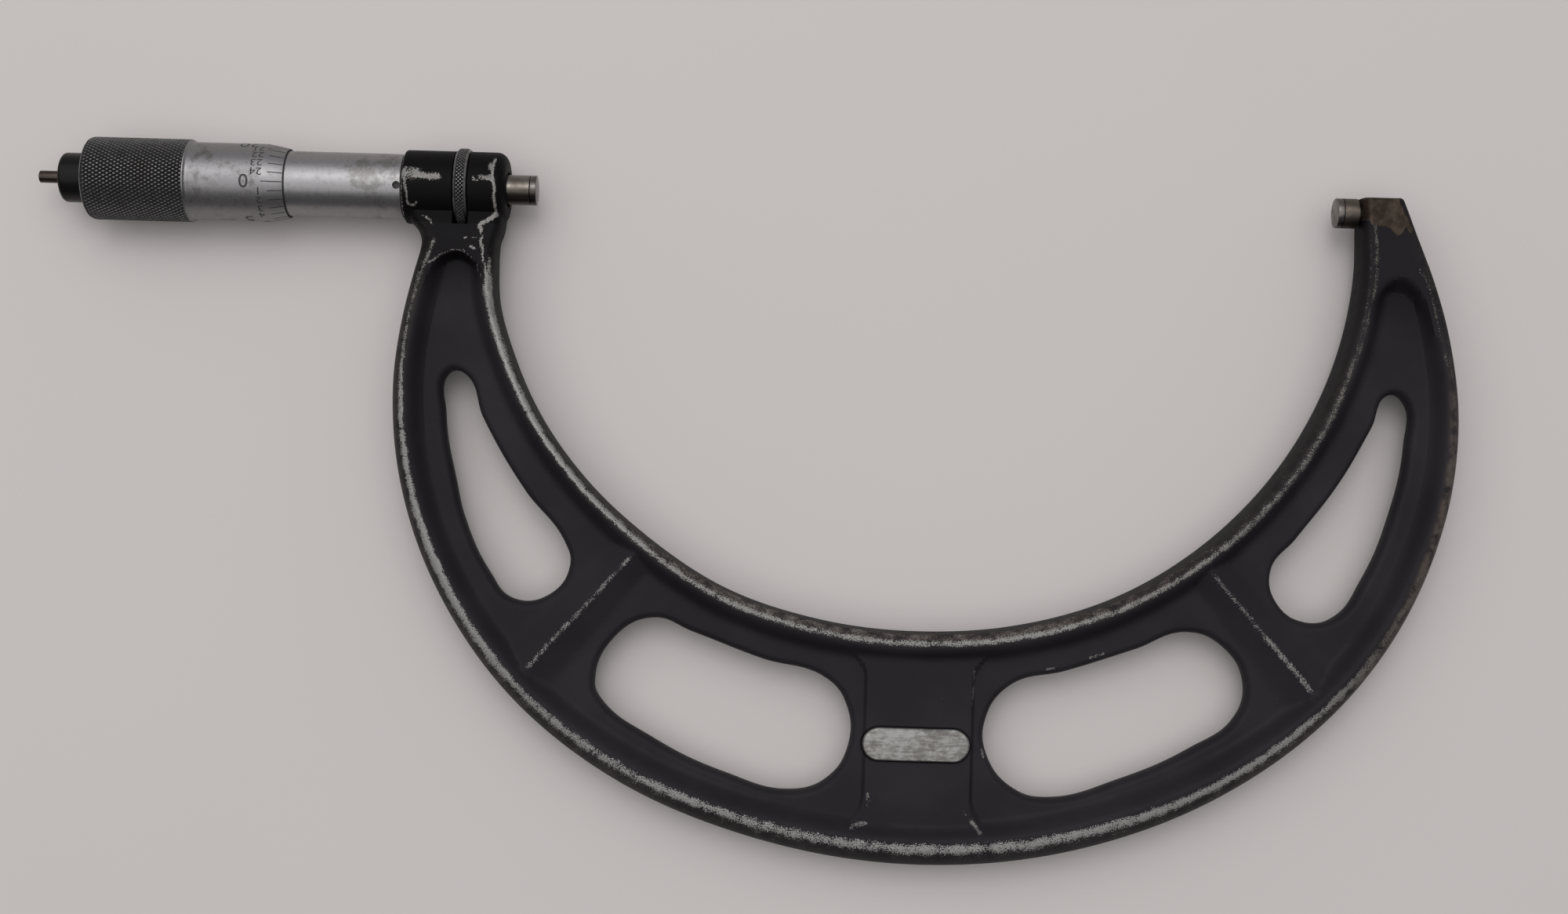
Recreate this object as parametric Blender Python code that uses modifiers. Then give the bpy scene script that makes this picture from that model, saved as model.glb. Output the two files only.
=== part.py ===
"""Outside micrometer for large work, lying flat, modelled in millimetres times MM.

The origin is the centre of the anvil's measuring face. +X runs along the spindle axis
from the spindle to the anvil, +Y points away from the bow, and Z = 0 is the middle
plane of the frame, with +Z towards the side that carries the pad.
"""
import math

import bmesh
import bpy
from mathutils import Matrix, Vector

MM = 0.001

# Measuring range and screw
opening = 170.2 * MM
travel_to_closed = 17.8 * MM
zero_line = 7.1 * MM
running_gap = 0.3 * MM

# Spindle and anvil
spindle_radius = 3.175 * MM
tip_length = 1.3 * MM
tip_gap = 0.1 * MM
edge_break = 0.25 * MM
anvil_stand_out = 4.85 * MM
anvil_shank_radius = 2.2 * MM
anvil_shank_length = 7.0 * MM
thread_radius = 3.9 * MM
thread_length = 44.7 * MM
thread_runout = 3.6 * MM
taper_length = 4.4 * MM
taper_end_gap = 0.2 * MM
taper_wide_radius = 3.1 * MM
taper_narrow_radius = 2.6 * MM

# Bow of the frame
throat_radius = 91.6 * MM
bow_drop = 8.0 * MM
web_half = 2.6 * MM
flange_half = 6.5 * MM
inner_crest = 2.9 * MM
outer_crest = 3.4 * MM
flange_slope = 3.7 * MM
strut_half = 5.0 * MM
strut_spread = 5.5 * MM
panel_half = 3.7 * MM
pad_half = 4.6 * MM
pad_length = 22.8 * MM
pad_width = 7.1 * MM
pad_depth_below_axis = 115.3 * MM
flank_power = 2.5
nose_top = 3.0 * MM
thinnest_web = 1.0 * MM

# Hub and lock
hub_radius = 7.8 * MM
hub_length = 21.6 * MM
hub_overhang = 1.75 * MM
hub_rounding = 2.4 * MM
hub_chamfer = 0.4 * MM
barrel_radius = 5.8 * MM
barrel_bore = 4.25 * MM
barrel_reach = 40.6 * MM
barrel_seat = 10.1 * MM
ring_radius = 8.45 * MM
ring_width = 2.75 * MM
ring_setback = 7.95 * MM
ring_bore = 5.5 * MM
collet_radius = 4.9 * MM
collet_lip = 1.6 * MM
collet_split = 0.9 * MM
lock_roller_radius = 0.75 * MM
lock_turn = 25.0

# Sleeve and adjusting nut
sleeve_radius = 6.9 * MM
sleeve_to_nut = 1.2 * MM
spanner_hole_radius = 0.75 * MM
spanner_hole_inset = 1.15 * MM
nut_radius = 6.65 * MM
nut_length = 5.2 * MM
nut_setback = 0.9 * MM
nut_slot_width = 1.0 * MM
barrel_split_width = 0.7 * MM
barrel_split_length = 9.0 * MM

# Thimble
thimble_length = 42.4 * MM
thimble_bore = 7.2 * MM
thimble_edge_radius = 7.35 * MM
bevel_radius = 8.2 * MM
bevel_length = 4.3 * MM
knurl_radius = 8.75 * MM
knurl_length = 22.0 * MM
knurl_chamfer = 0.7 * MM
knurl_step = 0.1 * MM
end_wall = 6.7 * MM
ratchet_pocket_radius = 5.55 * MM
ratchet_pocket_depth = 2.8 * MM

# Ratchet
cap_radius = 5.25 * MM
cap_length = 8.2 * MM
cap_wall = 1.05 * MM
cap_end_wall = 1.2 * MM
cap_rounding = 0.9 * MM
cap_end_gap = 0.4 * MM
stem_radius = 1.3 * MM
stem_length = 4.9 * MM
stem_shank_radius = 0.85 * MM
stem_flange_radius = 1.9 * MM
stem_flange_length = 0.6 * MM
wheel_radius = 3.8 * MM
wheel_length = 1.45 * MM
disc_radius = 3.85 * MM
disc_length = 1.0 * MM
tooth_height = 0.35 * MM
tooth_count = 12
tooth_clearance = 0.05 * MM
click_lift = 0.3 * MM
screw_radius = 1.1 * MM
screw_head_radius = 2.0 * MM
screw_head_length = 0.6 * MM
screw_length = 5.0 * MM
screw_slot_width = 0.5 * MM
spring_wire_radius = 0.2 * MM
spring_radius = 2.45 * MM
spring_turns = 3
drive_pin_radius = 0.4 * MM
drive_pin_place = 3.15 * MM
pin_clearance = 0.2 * MM
clip_half_width = 0.35 * MM
clip_inner_radius = 5.0 * MM
clip_outer_radius = 5.8 * MM
clip_groove = 0.25 * MM
clip_mouth = 40.0

# Places worked out from the sizes above
bow_unit = throat_radius / 91.6
nose_radius = throat_radius + 0.35 * bow_unit
nose_angle = math.degrees(math.asin((nose_top + bow_drop) / nose_radius))
bow_x = anvil_stand_out - nose_radius * math.cos(math.radians(nose_angle))
bow_y = -bow_drop
hub_right = bow_x - throat_radius + hub_overhang
hub_left = hub_right - hub_length
ring_right = hub_right - ring_setback
ring_left = ring_right - ring_width
slot_right = ring_right + running_gap
slot_left = ring_left - running_gap
slot_radius = ring_radius + 1.5 * running_gap
tip_face = -opening
thimble_right = hub_left - zero_line - travel_to_closed
thimble_left = thimble_right - thimble_length
thimble_floor = thimble_left + end_wall
pocket_floor = thimble_left + ratchet_pocket_depth
spindle_left = pocket_floor + taper_end_gap
taper_right = spindle_left + taper_length
thread_left = taper_right + thread_runout
thread_right = thread_left + thread_length
barrel_left = hub_left - barrel_reach
barrel_right = hub_left + barrel_seat
nut_left = barrel_left + nut_setback
nut_right = nut_left + nut_length
sleeve_right = hub_left - running_gap
sleeve_left = nut_right + sleeve_to_nut

# The bow, drawn for a throat radius of 91.6: angle round its centre, how far the inner
# edge lies outside that radius, the width to the outer edge, and the half thickness
bow_rows = [
    (177.0, -1.4, 21.0, 5.5), (179.4, -1.2, 20.4, 5.6), (180.8, -0.8, 17.8, 5.7),
    (182.2, 0.0, 16.4, 5.9), (185.0, 0.5, 17.5, 6.2), (190.0, 1.1, 20.5, 6.5),
    (197.0, 0.4, 26.3, 6.5), (206.0, -0.6, 32.7, 6.5), (216.0, -2.2, 38.8, 6.5),
    (228.5, -4.25, 44.55, 6.5), (241.0, -5.4, 46.9, 6.5), (255.0, -7.1, 48.4, 6.5),
    (270.5, -7.8, 49.5, 6.5), (285.0, -6.9, 49.1, 6.5), (299.0, -5.2, 47.5, 6.5),
    (311.5, -3.8, 45.0, 6.5), (322.0, -2.6, 40.9, 6.5), (333.0, -1.4, 34.6, 6.5),
    (342.0, -0.6, 28.1, 6.5), (350.0, -0.1, 21.3, 6.4), (357.0, 0.1, 15.5, 5.9),
    (362.0, 0.0, 11.8, 5.4), (367.0, 0.35, 8.5, 5.0),
]

# Crosswise lines of the bow: place along it, angle at the inner edge and at the outer
bow_lines = [
    (177.0, 177.0, 177.0), (183.0, 183.0, 183.0), (228.5, 228.4, 228.6), (263.9, 262.5, 265.3),
    (276.65, 278.2, 275.1), (311.55, 311.9, 311.2), (366.6, nose_angle + 360.0, nose_angle + 359.4),
]
strut_places = (228.5, 311.55)
panel_places = (263.9, 276.65)
pocket_start = (184.5, 357.5)
pocket_ramp = 5.0

# Windows through the web: angle, and share of the way from inner to outer edge
windows = {
    "left_arm": [(199.11, 0.517), (202.27, 0.592), (209.10, 0.640), (212.72, 0.683),
                 (218.74, 0.709), (222.37, 0.688), (224.72, 0.532), (223.84, 0.356),
                 (221.28, 0.298), (213.53, 0.308), (203.84, 0.354), (199.50, 0.410)],
    "left_bottom": [(235.55, 0.284), (233.31, 0.466), (234.55, 0.684), (236.01, 0.729),
                    (242.59, 0.754), (250.81, 0.767), (257.39, 0.756), (260.77, 0.676),
                    (262.53, 0.517), (261.45, 0.334), (258.44, 0.243), (249.87, 0.232),
                    (240.61, 0.243)],
    "right_bottom": [(298.22, 0.241), (289.13, 0.233), (281.96, 0.247), (278.41, 0.372),
                     (277.97, 0.533), (280.55, 0.701), (283.72, 0.757), (290.88, 0.758),
                     (298.79, 0.751), (304.22, 0.730), (306.93, 0.622), (307.42, 0.437),
                     (304.85, 0.281)],
    "right_arm": [(341.14, 0.423), (338.02, 0.368), (330.59, 0.323), (322.29, 0.291),
                  (317.45, 0.300), (315.25, 0.438), (316.03, 0.599), (318.54, 0.696),
                  (323.49, 0.704), (330.69, 0.671), (337.62, 0.635), (340.95, 0.576)],
}

colours = {
    "black_enamel": ((0.018, 0.017, 0.018), 0.45, 0.0),
    "ground_steel": ((0.52, 0.50, 0.47), 0.28, 1.0),
    "hard_tip": ((0.32, 0.31, 0.30), 0.22, 1.0),
    "satin_chrome": ((0.60, 0.60, 0.59), 0.34, 1.0),
    "knurled_steel": ((0.30, 0.29, 0.27), 0.42, 1.0),
    "black_oxide": ((0.016, 0.015, 0.014), 0.24, 0.3),
    "dark_steel": ((0.14, 0.12, 0.11), 0.3, 1.0),
    "spring_steel": ((0.38, 0.37, 0.36), 0.35, 1.0),
}


def clear_scene():
    for old in list(bpy.data.objects):
        bpy.data.objects.remove(old, do_unlink=True)


def new_collection(name):
    collection = bpy.data.collections.new(name)
    bpy.context.scene.collection.children.link(collection)
    return collection


def finish_material(name):
    material = bpy.data.materials.get(name) or bpy.data.materials.new(name)
    colour, roughness, metallic = colours[name]
    material.use_nodes = True
    shader = material.node_tree.nodes["Principled BSDF"]
    shader.inputs["Base Color"].default_value = (*colour, 1.0)
    shader.inputs["Roughness"].default_value = roughness
    shader.inputs["Metallic"].default_value = metallic
    material.diffuse_color = (*colour, 1.0)
    return material


def place(name, mesh, finish=None):
    """Put a mesh in the scene as a part with a finish, or as a hidden cutter."""
    thing = bpy.data.objects.new(name, mesh)
    if finish:
        parts.objects.link(thing)
        mesh.materials.append(finish_material(finish))
    else:
        cutters.objects.link(thing)
        thing.hide_render = True
        thing.display_type = "WIRE"
    return thing


def turned(name, outline, finish=None, steps=48, ring=False):
    """Turn an outline of (x, radius) points about the spindle axis.

    It runs down the outer side from high x to low x, and a ring comes back up its bore.
    A cutter is turned on by half a facet, so that its corners meet no corner of the part.
    """
    mesh = bpy.data.meshes.new(name)
    edges = [(i, i + 1) for i in range(len(outline) - 1)]
    if ring:
        edges.append((len(outline) - 1, 0))
    start = 0.0 if finish else math.pi / steps
    across, up = math.cos(start), math.sin(start)
    mesh.from_pydata([(radius * across, radius * up, x) for x, radius in outline], edges, [])
    thing = place(name, mesh, finish)
    thing.rotation_euler = (0.0, math.pi / 2, 0.0)
    screw = thing.modifiers.new("turn", "SCREW")
    screw.axis = "Z"
    screw.angle = 2 * math.pi
    screw.steps = steps
    screw.render_steps = steps
    screw.use_merge_vertices = True
    screw.merge_threshold = 0.00001
    screw.use_smooth_shade = True
    return thing


def rod_outline(left, right, radius, chamfer=0.0):
    return [(right, 0.0), (right, radius - chamfer), (right - chamfer, radius),
            (left + chamfer, radius), (left, radius - chamfer), (left, 0.0)]


def tube_outline(left, right, radius, bore, chamfer):
    return [(right, bore), (right, radius - chamfer), (right - chamfer, radius),
            (left + chamfer, radius), (left, radius - chamfer), (left, bore)]


def block(name, centre, size):
    """A rectangular cutter."""
    mesh = bpy.data.meshes.new(name)
    shape = bmesh.new()
    bmesh.ops.create_cube(shape, size=1.0)
    bmesh.ops.scale(shape, vec=Vector(size), verts=shape.verts)
    bmesh.ops.translate(shape, vec=Vector(centre), verts=shape.verts)
    shape.to_mesh(mesh)
    shape.free()
    return place(name, mesh)


def rod(name, centre, direction, radius, length, finish=None, sides=24):
    """A plain cylinder along a direction."""
    mesh = bpy.data.meshes.new(name)
    shape = bmesh.new()
    bmesh.ops.create_cone(shape, cap_ends=True, segments=sides, radius1=radius, radius2=radius,
                          depth=length)
    turn = Vector((0.0, 0.0, 1.0)).rotation_difference(Vector(direction)).to_matrix().to_4x4()
    bmesh.ops.transform(shape, matrix=Matrix.Translation(Vector(centre)) @ turn, verts=shape.verts)
    shape.to_mesh(mesh)
    shape.free()
    thing = place(name, mesh, finish)
    mesh.shade_smooth()
    mesh.set_sharp_from_angle(angle=math.radians(35))
    return thing


def plate_from_outline(name, points, low, high, smooth=True):
    """A closed flat outline, extruded from low to high in Z, as a welded mesh."""
    curve = bpy.data.curves.new(name, "CURVE")
    curve.dimensions = "2D"
    curve.fill_mode = "BOTH"
    curve.extrude = (high - low) / 2
    curve.resolution_u = 4
    kind = "BEZIER" if smooth else "POLY"
    spline = curve.splines.new(kind)
    spline.use_cyclic_u = True
    if smooth:
        spline.bezier_points.add(len(points) - 1)
        for knot, (x, y) in zip(spline.bezier_points, points):
            knot.co = (x, y, 0.0)
            knot.handle_left_type = knot.handle_right_type = "AUTO"
    else:
        spline.points.add(len(points) - 1)
        for knot, (x, y) in zip(spline.points, points):
            knot.co = (x, y, 0.0, 1.0)
    drawn = bpy.data.objects.new(name, curve)
    drawn.location.z = (low + high) / 2
    cutters.objects.link(drawn)
    bpy.context.view_layer.update()
    ready = drawn.evaluated_get(bpy.context.evaluated_depsgraph_get())
    mesh = bpy.data.meshes.new_from_object(ready)
    where = drawn.matrix_world.copy()
    bpy.data.objects.remove(drawn, do_unlink=True)
    shape = bmesh.new()
    shape.from_mesh(mesh)
    bmesh.ops.remove_doubles(shape, verts=shape.verts, dist=0.000001)
    bmesh.ops.recalc_face_normals(shape, faces=shape.faces)
    shape.to_mesh(mesh)
    shape.free()
    solid = place(name, mesh)
    solid.matrix_world = where
    return solid


def combine(target, tool, operation):
    step = target.modifiers.new(tool.name, "BOOLEAN")
    step.operation = operation
    step.solver = "EXACT"
    step.object = tool


def spline_value(rows, column, place_on):
    """A smooth value between table rows, by cubic pieces through each row."""
    spots = [row[0] for row in rows]
    place_on = min(max(place_on, spots[0]), spots[-1])
    k = max(i for i in range(len(rows) - 1) if spots[i] <= place_on)
    before, after = max(k - 1, 0), min(k + 2, len(rows) - 1)

    def slope(low, high):
        return (rows[high][column] - rows[low][column]) / (spots[high] - spots[low])

    span = spots[k + 1] - spots[k]
    t = (place_on - spots[k]) / span
    start, end = rows[k][column], rows[k + 1][column]
    start_slope, end_slope = slope(before, k + 1) * span, slope(k, after) * span
    return (start * (1 + 2 * t) * (1 - t) ** 2 + start_slope * t * (1 - t) ** 2
            + end * t * t * (3 - 2 * t) - end_slope * t * t * (1 - t))


def line_angles(place_on):
    """Angles of the crosswise line at a place along the bow, at inner and outer edge."""
    for low, high in zip(bow_lines, bow_lines[1:]):
        if place_on <= high[0]:
            break
    share = (place_on - low[0]) / (high[0] - low[0])
    return tuple(low[i] + share * (high[i] - low[i]) for i in (1, 2))


def bow_point(angle, radius):
    return Vector((bow_x + radius * math.cos(math.radians(angle)),
                   bow_y + radius * math.sin(math.radians(angle))))


def inner_radius(angle):
    return throat_radius + spline_value(bow_rows, 1, angle) * bow_unit


def outer_radius(angle):
    return inner_radius(angle) + spline_value(bow_rows, 2, angle) * bow_unit


def crest_height(angle):
    return flange_half * spline_value(bow_rows, 3, angle) / 6.5


def flank(distance, crest, height):
    """Half thickness between an edge and its crest, then down the slope to the web."""
    if distance <= crest:
        return height * (1 - (1 - distance / crest) ** flank_power) ** (1 / flank_power)
    fall = min((distance - crest) / flange_slope, 1.0)
    return web_half + (height - web_half) * (0.5 + 0.5 * math.cos(math.pi * fall))


def rise(value, start, span):
    t = min(max((value - start) / span, 0.0), 1.0)
    return t * t * (3 - 2 * t)


def web_height(place_on):
    """Half thickness between the flanges: web, struts and the panel in the middle."""
    height = web_half
    arc = math.radians(1.0) * 1.2 * throat_radius
    for strut in strut_places:
        away = min(abs(place_on - strut) * arc / strut_spread, 1.0)
        height = max(height, web_half + (strut_half - web_half) * (1 - away))
    if panel_places[0] <= place_on <= panel_places[1]:
        height = max(height, panel_half)
    return height


def pocket_depth(place_on):
    """1 where the section is hollowed to the web, 0 where neck and nose are solid."""
    return (rise(place_on, pocket_start[0], pocket_ramp)
            * (1 - rise(place_on, pocket_start[1] - pocket_ramp, pocket_ramp)))


def bow_places():
    """Places along the bow for its crosswise lines, closer at the struts and panel."""
    spots = {177.0, 178.2, 179.4, 180.1, 180.8, 181.5, 182.2, 183.0, 184.5}
    spots.update(186.0 + 3.5 * k for k in range(51))
    spots.update({360.0, 364.0, 366.6})
    features = []
    for strut in strut_places:
        features += [strut - 2.9, strut - 1.4, strut, strut + 1.4, strut + 2.9]
    for side, inward in zip(panel_places, (1, -1)):
        features += [side, side - 0.25 * inward]
    spots = {s for s in spots if all(abs(s - f) > 0.9 for f in features)}
    return sorted(s for s in spots.union(features) if s <= bow_lines[-1][0])


def bow_section(place_on):
    """Points of one crosswise section, as a closed ring from the inner edge over the top."""
    at_inner, at_outer = line_angles(place_on)
    inner = bow_point(at_inner, inner_radius(at_inner))
    outer = bow_point(at_outer, outer_radius(at_outer))
    width = (outer - inner).length
    height = crest_height((at_inner + at_outer) / 2)
    crest_steps = [0.0, 0.12, 0.45, 1.0]
    slope_steps = [0.33, 0.66, 1.0]
    full = inner_crest + outer_crest + 2 * flange_slope
    squeeze = min(1.0, (width - thinnest_web) / full)
    top = [(width / 2, web_half, True)]
    for crest in (inner_crest, outer_crest):
        steps = [s * crest for s in crest_steps] + [crest + s * flange_slope for s in slope_steps]
        side = [(d * squeeze, flank(d, crest, height), d > crest) for d in steps]
        if crest is inner_crest:
            top = side + top
        else:
            top += [(width - across, half, hollow) for across, half, hollow in reversed(side)]
    middle = web_height(place_on)
    depth = pocket_depth(place_on)
    ring = []
    for across, half, hollow in top:
        if hollow:
            half = height - depth * (height - max(half, middle))
        ring.append((inner + (outer - inner) * (across / width), half))
    upper = [(spot.x, spot.y, half) for spot, half in ring]
    lower = [(spot.x, spot.y, -half) for spot, half in reversed(ring[1:-1])]
    return upper + lower


def make_bow():
    """The forged I-section bow, lofted through its crosswise sections."""
    mesh = bpy.data.meshes.new("bow")
    shape = bmesh.new()
    rings = [[shape.verts.new(point) for point in bow_section(s)] for s in bow_places()]
    count = len(rings[0])
    for low, high in zip(rings, rings[1:]):
        for i in range(count):
            j = (i + 1) % count
            shape.faces.new((low[i], low[j], high[j], high[i]))
    shape.faces.new(list(reversed(rings[0])))
    shape.faces.new(rings[-1])
    bmesh.ops.triangulate(shape, faces=[f for f in shape.faces if len(f.verts) > 4])
    bmesh.ops.recalc_face_normals(shape, faces=shape.faces)
    shape.to_mesh(mesh)
    shape.free()
    return mesh


def window_points(corners):
    points = []
    for angle, share in corners:
        inner, outer = inner_radius(angle), outer_radius(angle)
        points.append(tuple(bow_point(angle, inner + share * (outer - inner))))
    return points


def pad_points():
    """The round-ended pad in the middle of the panel."""
    radius = pad_width / 2
    reach = pad_length / 2 - radius
    points = []
    for side, start in ((1, -90), (-1, 90)):
        for k in range(9):
            turn = math.radians(start + 22.5 * k)
            points.append((bow_x + side * reach + radius * math.cos(turn),
                           -pad_depth_below_axis + radius * math.sin(turn)))
    return points


def make_frame():
    """Bow, hub and pad as one forging, then its windows, bores and the lock slot."""
    frame = place("frame", make_bow(), "black_enamel")
    arc = [math.radians(15 * k) for k in range(7)]
    nose_of_hub = [(hub_right - hub_rounding + hub_rounding * math.cos(a),
                    hub_radius - hub_rounding + hub_rounding * math.sin(a)) for a in arc]
    hub_outline = [(hub_right, 0.0)] + nose_of_hub + [
        (hub_left + hub_chamfer, hub_radius), (hub_left, hub_radius - hub_chamfer), (hub_left, 0.0)]
    combine(frame, turned("hub_form", hub_outline), "UNION")
    combine(frame, plate_from_outline("pad_form", pad_points(), web_half, pad_half, False), "UNION")
    for name, corners in windows.items():
        outline = window_points(corners)
        combine(frame, plate_from_outline(name + "_window", outline, -flange_half, flange_half),
                "DIFFERENCE")
    past = 2 * hub_rounding
    barrel_hole = rod_outline(hub_left - past, slot_left + running_gap / 2, barrel_radius + running_gap)
    combine(frame, turned("barrel_hole", barrel_hole), "DIFFERENCE")
    slot = rod_outline(slot_left, slot_right, slot_radius)
    combine(frame, turned("ring_slot", slot), "DIFFERENCE")
    collet_hole = rod_outline(slot_right - running_gap / 2, hub_right - collet_lip,
                              collet_radius + running_gap)
    combine(frame, turned("collet_hole", collet_hole), "DIFFERENCE")
    spindle_hole = rod_outline(slot_right, hub_right + past, spindle_radius + 2 * running_gap)
    combine(frame, turned("spindle_hole", spindle_hole), "DIFFERENCE")
    anvil_hole = rod_outline(anvil_stand_out - past, anvil_stand_out + anvil_shank_length,
                             anvil_shank_radius + running_gap)
    combine(frame, turned("anvil_hole", anvil_hole, steps=32), "DIFFERENCE")
    return frame


def make_anvil():
    head = anvil_stand_out - running_gap
    shank_end = anvil_stand_out + anvil_shank_length - running_gap
    outline = [(shank_end, 0.0), (shank_end, anvil_shank_radius - edge_break),
               (shank_end - edge_break, anvil_shank_radius), (head, anvil_shank_radius),
               (head, spindle_radius), (tip_length + tip_gap, spindle_radius),
               (tip_length + tip_gap, 0.0)]
    turned("anvil", outline, "ground_steel")
    tip = [(tip_length, 0.0), (tip_length, spindle_radius), (edge_break / 2, spindle_radius),
           (0.0, spindle_radius - edge_break / 2), (0.0, 0.0)]
    turned("anvil_tip", tip, "hard_tip")


def make_barrel():
    """The inner tube, pressed in the hub, its threaded end split for the adjusting nut."""
    outline = tube_outline(barrel_left, barrel_right, barrel_radius, barrel_bore, edge_break)
    barrel = turned("barrel", outline, "ground_steel", steps=40, ring=True)
    for k in range(3):
        turn = 2 * math.pi * k / 3 + math.pi / 2
        middle = (barrel_radius + barrel_bore) / 2
        split = block("barrel_split_%d" % (k + 1), (0.0, 0.0, 0.0),
                      (2 * barrel_split_length, barrel_split_width, 2 * barrel_radius - barrel_bore))
        split.location = (barrel_left, -middle * math.sin(turn), middle * math.cos(turn))
        split.rotation_euler = (turn, 0.0, 0.0)
        combine(barrel, split, "DIFFERENCE")


def make_sleeve():
    bore = barrel_radius + running_gap
    outline = tube_outline(sleeve_left, sleeve_right, sleeve_radius, bore, edge_break)
    sleeve = turned("graduated_sleeve", outline, "satin_chrome", ring=True)
    spot = (sleeve_right - spanner_hole_inset, 0.0, sleeve_radius)
    hole = rod("spanner_hole", spot, (0, 0, 1), spanner_hole_radius, 4 * (sleeve_radius - bore))
    combine(sleeve, hole, "DIFFERENCE")


def make_adjusting_nut():
    outline = tube_outline(nut_left, nut_right, nut_radius, barrel_radius + running_gap, edge_break)
    nut = turned("adjusting_nut", outline, "dark_steel", steps=40, ring=True)
    slot = block("nut_slot", (nut_left, 0.0, 0.0),
                 (2 * nut_slot_width, nut_slot_width, 3 * nut_radius))
    combine(nut, slot, "DIFFERENCE")


def make_lock():
    """The knurled ring, the split collet that it closes, and the roller between them."""
    chamfer = 2 * edge_break
    outline = tube_outline(ring_left, ring_right, ring_radius, ring_bore, chamfer)
    ring = turned("lock_ring", outline, "knurled_steel", steps=56, ring=True)
    ring_middle = (ring_left + ring_right) / 2
    roller_place = (ring_bore + collet_radius) / 2
    pocket_reach = lock_roller_radius + running_gap
    for k in range(6):
        turn = math.radians(lock_turn * k / 5)
        spot = (ring_middle, -roller_place * math.sin(turn), -roller_place * math.cos(turn))
        pocket = rod("ring_pocket_%d" % (k + 1), spot, (1, 0, 0), pocket_reach, 2 * ring_width,
                     sides=16)
        combine(ring, pocket, "DIFFERENCE")
    collet_left = slot_left + running_gap / 2
    collet_right = hub_right - collet_lip - running_gap
    bore = spindle_radius + running_gap
    outline = tube_outline(collet_left, collet_right, collet_radius, bore, edge_break)
    collet = turned("lock_collet", outline, "dark_steel", steps=40, ring=True)
    middle = (collet_left + collet_right) / 2
    split = block("collet_split", (middle, 0.0, collet_radius),
                  (2 * hub_length, collet_split, collet_radius))
    combine(collet, split, "DIFFERENCE")
    spot = (ring_middle, 0.0, -roller_place)
    seat = rod("roller_seat", spot, (1, 0, 0), pocket_reach, ring_width + 2 * running_gap, sides=16)
    combine(collet, seat, "DIFFERENCE")
    rod("lock_roller", spot, (1, 0, 0), lock_roller_radius, ring_width - running_gap,
        "ground_steel", sides=16)


def make_spindle():
    """Spindle with its threaded length, taper and tapped end, and the hard tip."""
    body_right = tip_face - tip_length - tip_gap
    bore = screw_radius + running_gap
    bore_right = spindle_left + screw_length
    outline = [(body_right, 0.0), (body_right, spindle_radius),
               (thread_right + edge_break, spindle_radius),
               (thread_right - edge_break, thread_radius),
               (thread_left + edge_break, thread_radius),
               (thread_left, taper_wide_radius + edge_break),
               (taper_right, taper_wide_radius), (spindle_left, taper_narrow_radius),
               (spindle_left, bore), (bore_right, bore), (bore_right, 0.0)]
    turned("spindle", outline, "ground_steel")
    tip = [(tip_face, 0.0), (tip_face, spindle_radius - edge_break / 2),
           (tip_face - edge_break / 2, spindle_radius), (tip_face - tip_length, spindle_radius),
           (tip_face - tip_length, 0.0)]
    turned("spindle_tip", tip, "hard_tip")


def make_thimble():
    """The thimble: bevelled edge, plain band, knurled grip, taper seat and ratchet pocket."""
    plain_left = thimble_left + knurl_length
    groove_x = thimble_left + ratchet_pocket_depth / 2
    wide = taper_wide_radius + running_gap
    narrow = taper_narrow_radius + running_gap
    groove_radius = clip_outer_radius + clip_groove
    groove_half = clip_half_width + clip_groove
    outline = [(thimble_right, thimble_bore), (thimble_right, thimble_edge_radius),
               (thimble_right - bevel_length, bevel_radius), (plain_left, bevel_radius),
               (plain_left - knurl_step, knurl_radius), (thimble_left + knurl_chamfer, knurl_radius),
               (thimble_left, knurl_radius - knurl_chamfer), (thimble_left, ratchet_pocket_radius),
               (groove_x - groove_half, ratchet_pocket_radius),
               (groove_x - groove_half, groove_radius), (groove_x + groove_half, groove_radius),
               (groove_x + groove_half, ratchet_pocket_radius),
               (pocket_floor, ratchet_pocket_radius), (pocket_floor, narrow),
               (thimble_floor, wide), (thimble_floor, thimble_bore)]
    turned("thimble", outline, "satin_chrome", steps=56, ring=True)
    clip = tube_outline(groove_x - clip_half_width, groove_x + clip_half_width, clip_outer_radius,
                        clip_inner_radius, clip_half_width / 7)
    ring = turned("ratchet_clip", clip, "spring_steel", steps=32, ring=True)
    mouth = 2 * clip_outer_radius * math.tan(math.radians(clip_mouth / 2))
    gap = block("clip_gap", (groove_x, 0.0, -clip_outer_radius),
                (4 * clip_half_width, mouth, clip_outer_radius))
    combine(ring, gap, "DIFFERENCE")


def toothed_disc(name, base, face, radius, bore, finish):
    """A disc with saw teeth on one face: base is its flat face, face is where the tips lie."""
    mesh = bpy.data.meshes.new(name)
    shape = bmesh.new()
    inward = math.copysign(1.0, base - face)
    root = face + inward * tooth_height
    loops = []
    for k in range(tooth_count):
        for share, depth in ((0.0, face), (0.82, root)):
            turn = 2 * math.pi * (k + share) / tooth_count
            loops.append((math.cos(turn), math.sin(turn), depth))
    rows = []
    for reach in (bore, radius):
        rows.append([shape.verts.new((depth, reach * c, reach * s)) for c, s, depth in loops])
        rows.append([shape.verts.new((base, reach * c, reach * s)) for c, s, depth in loops])
    front_in, back_in, front_out, back_out = rows
    walls = ((front_in, front_out), (front_out, back_out), (back_out, back_in), (back_in, front_in))
    for i in range(len(loops)):
        j = (i + 1) % len(loops)
        for a, b in walls:
            shape.faces.new((a[i], a[j], b[j], b[i]))
    bmesh.ops.triangulate(shape, faces=shape.faces)
    bmesh.ops.recalc_face_normals(shape, faces=shape.faces)
    shape.to_mesh(mesh)
    shape.free()
    return place(name, mesh, finish)


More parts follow.
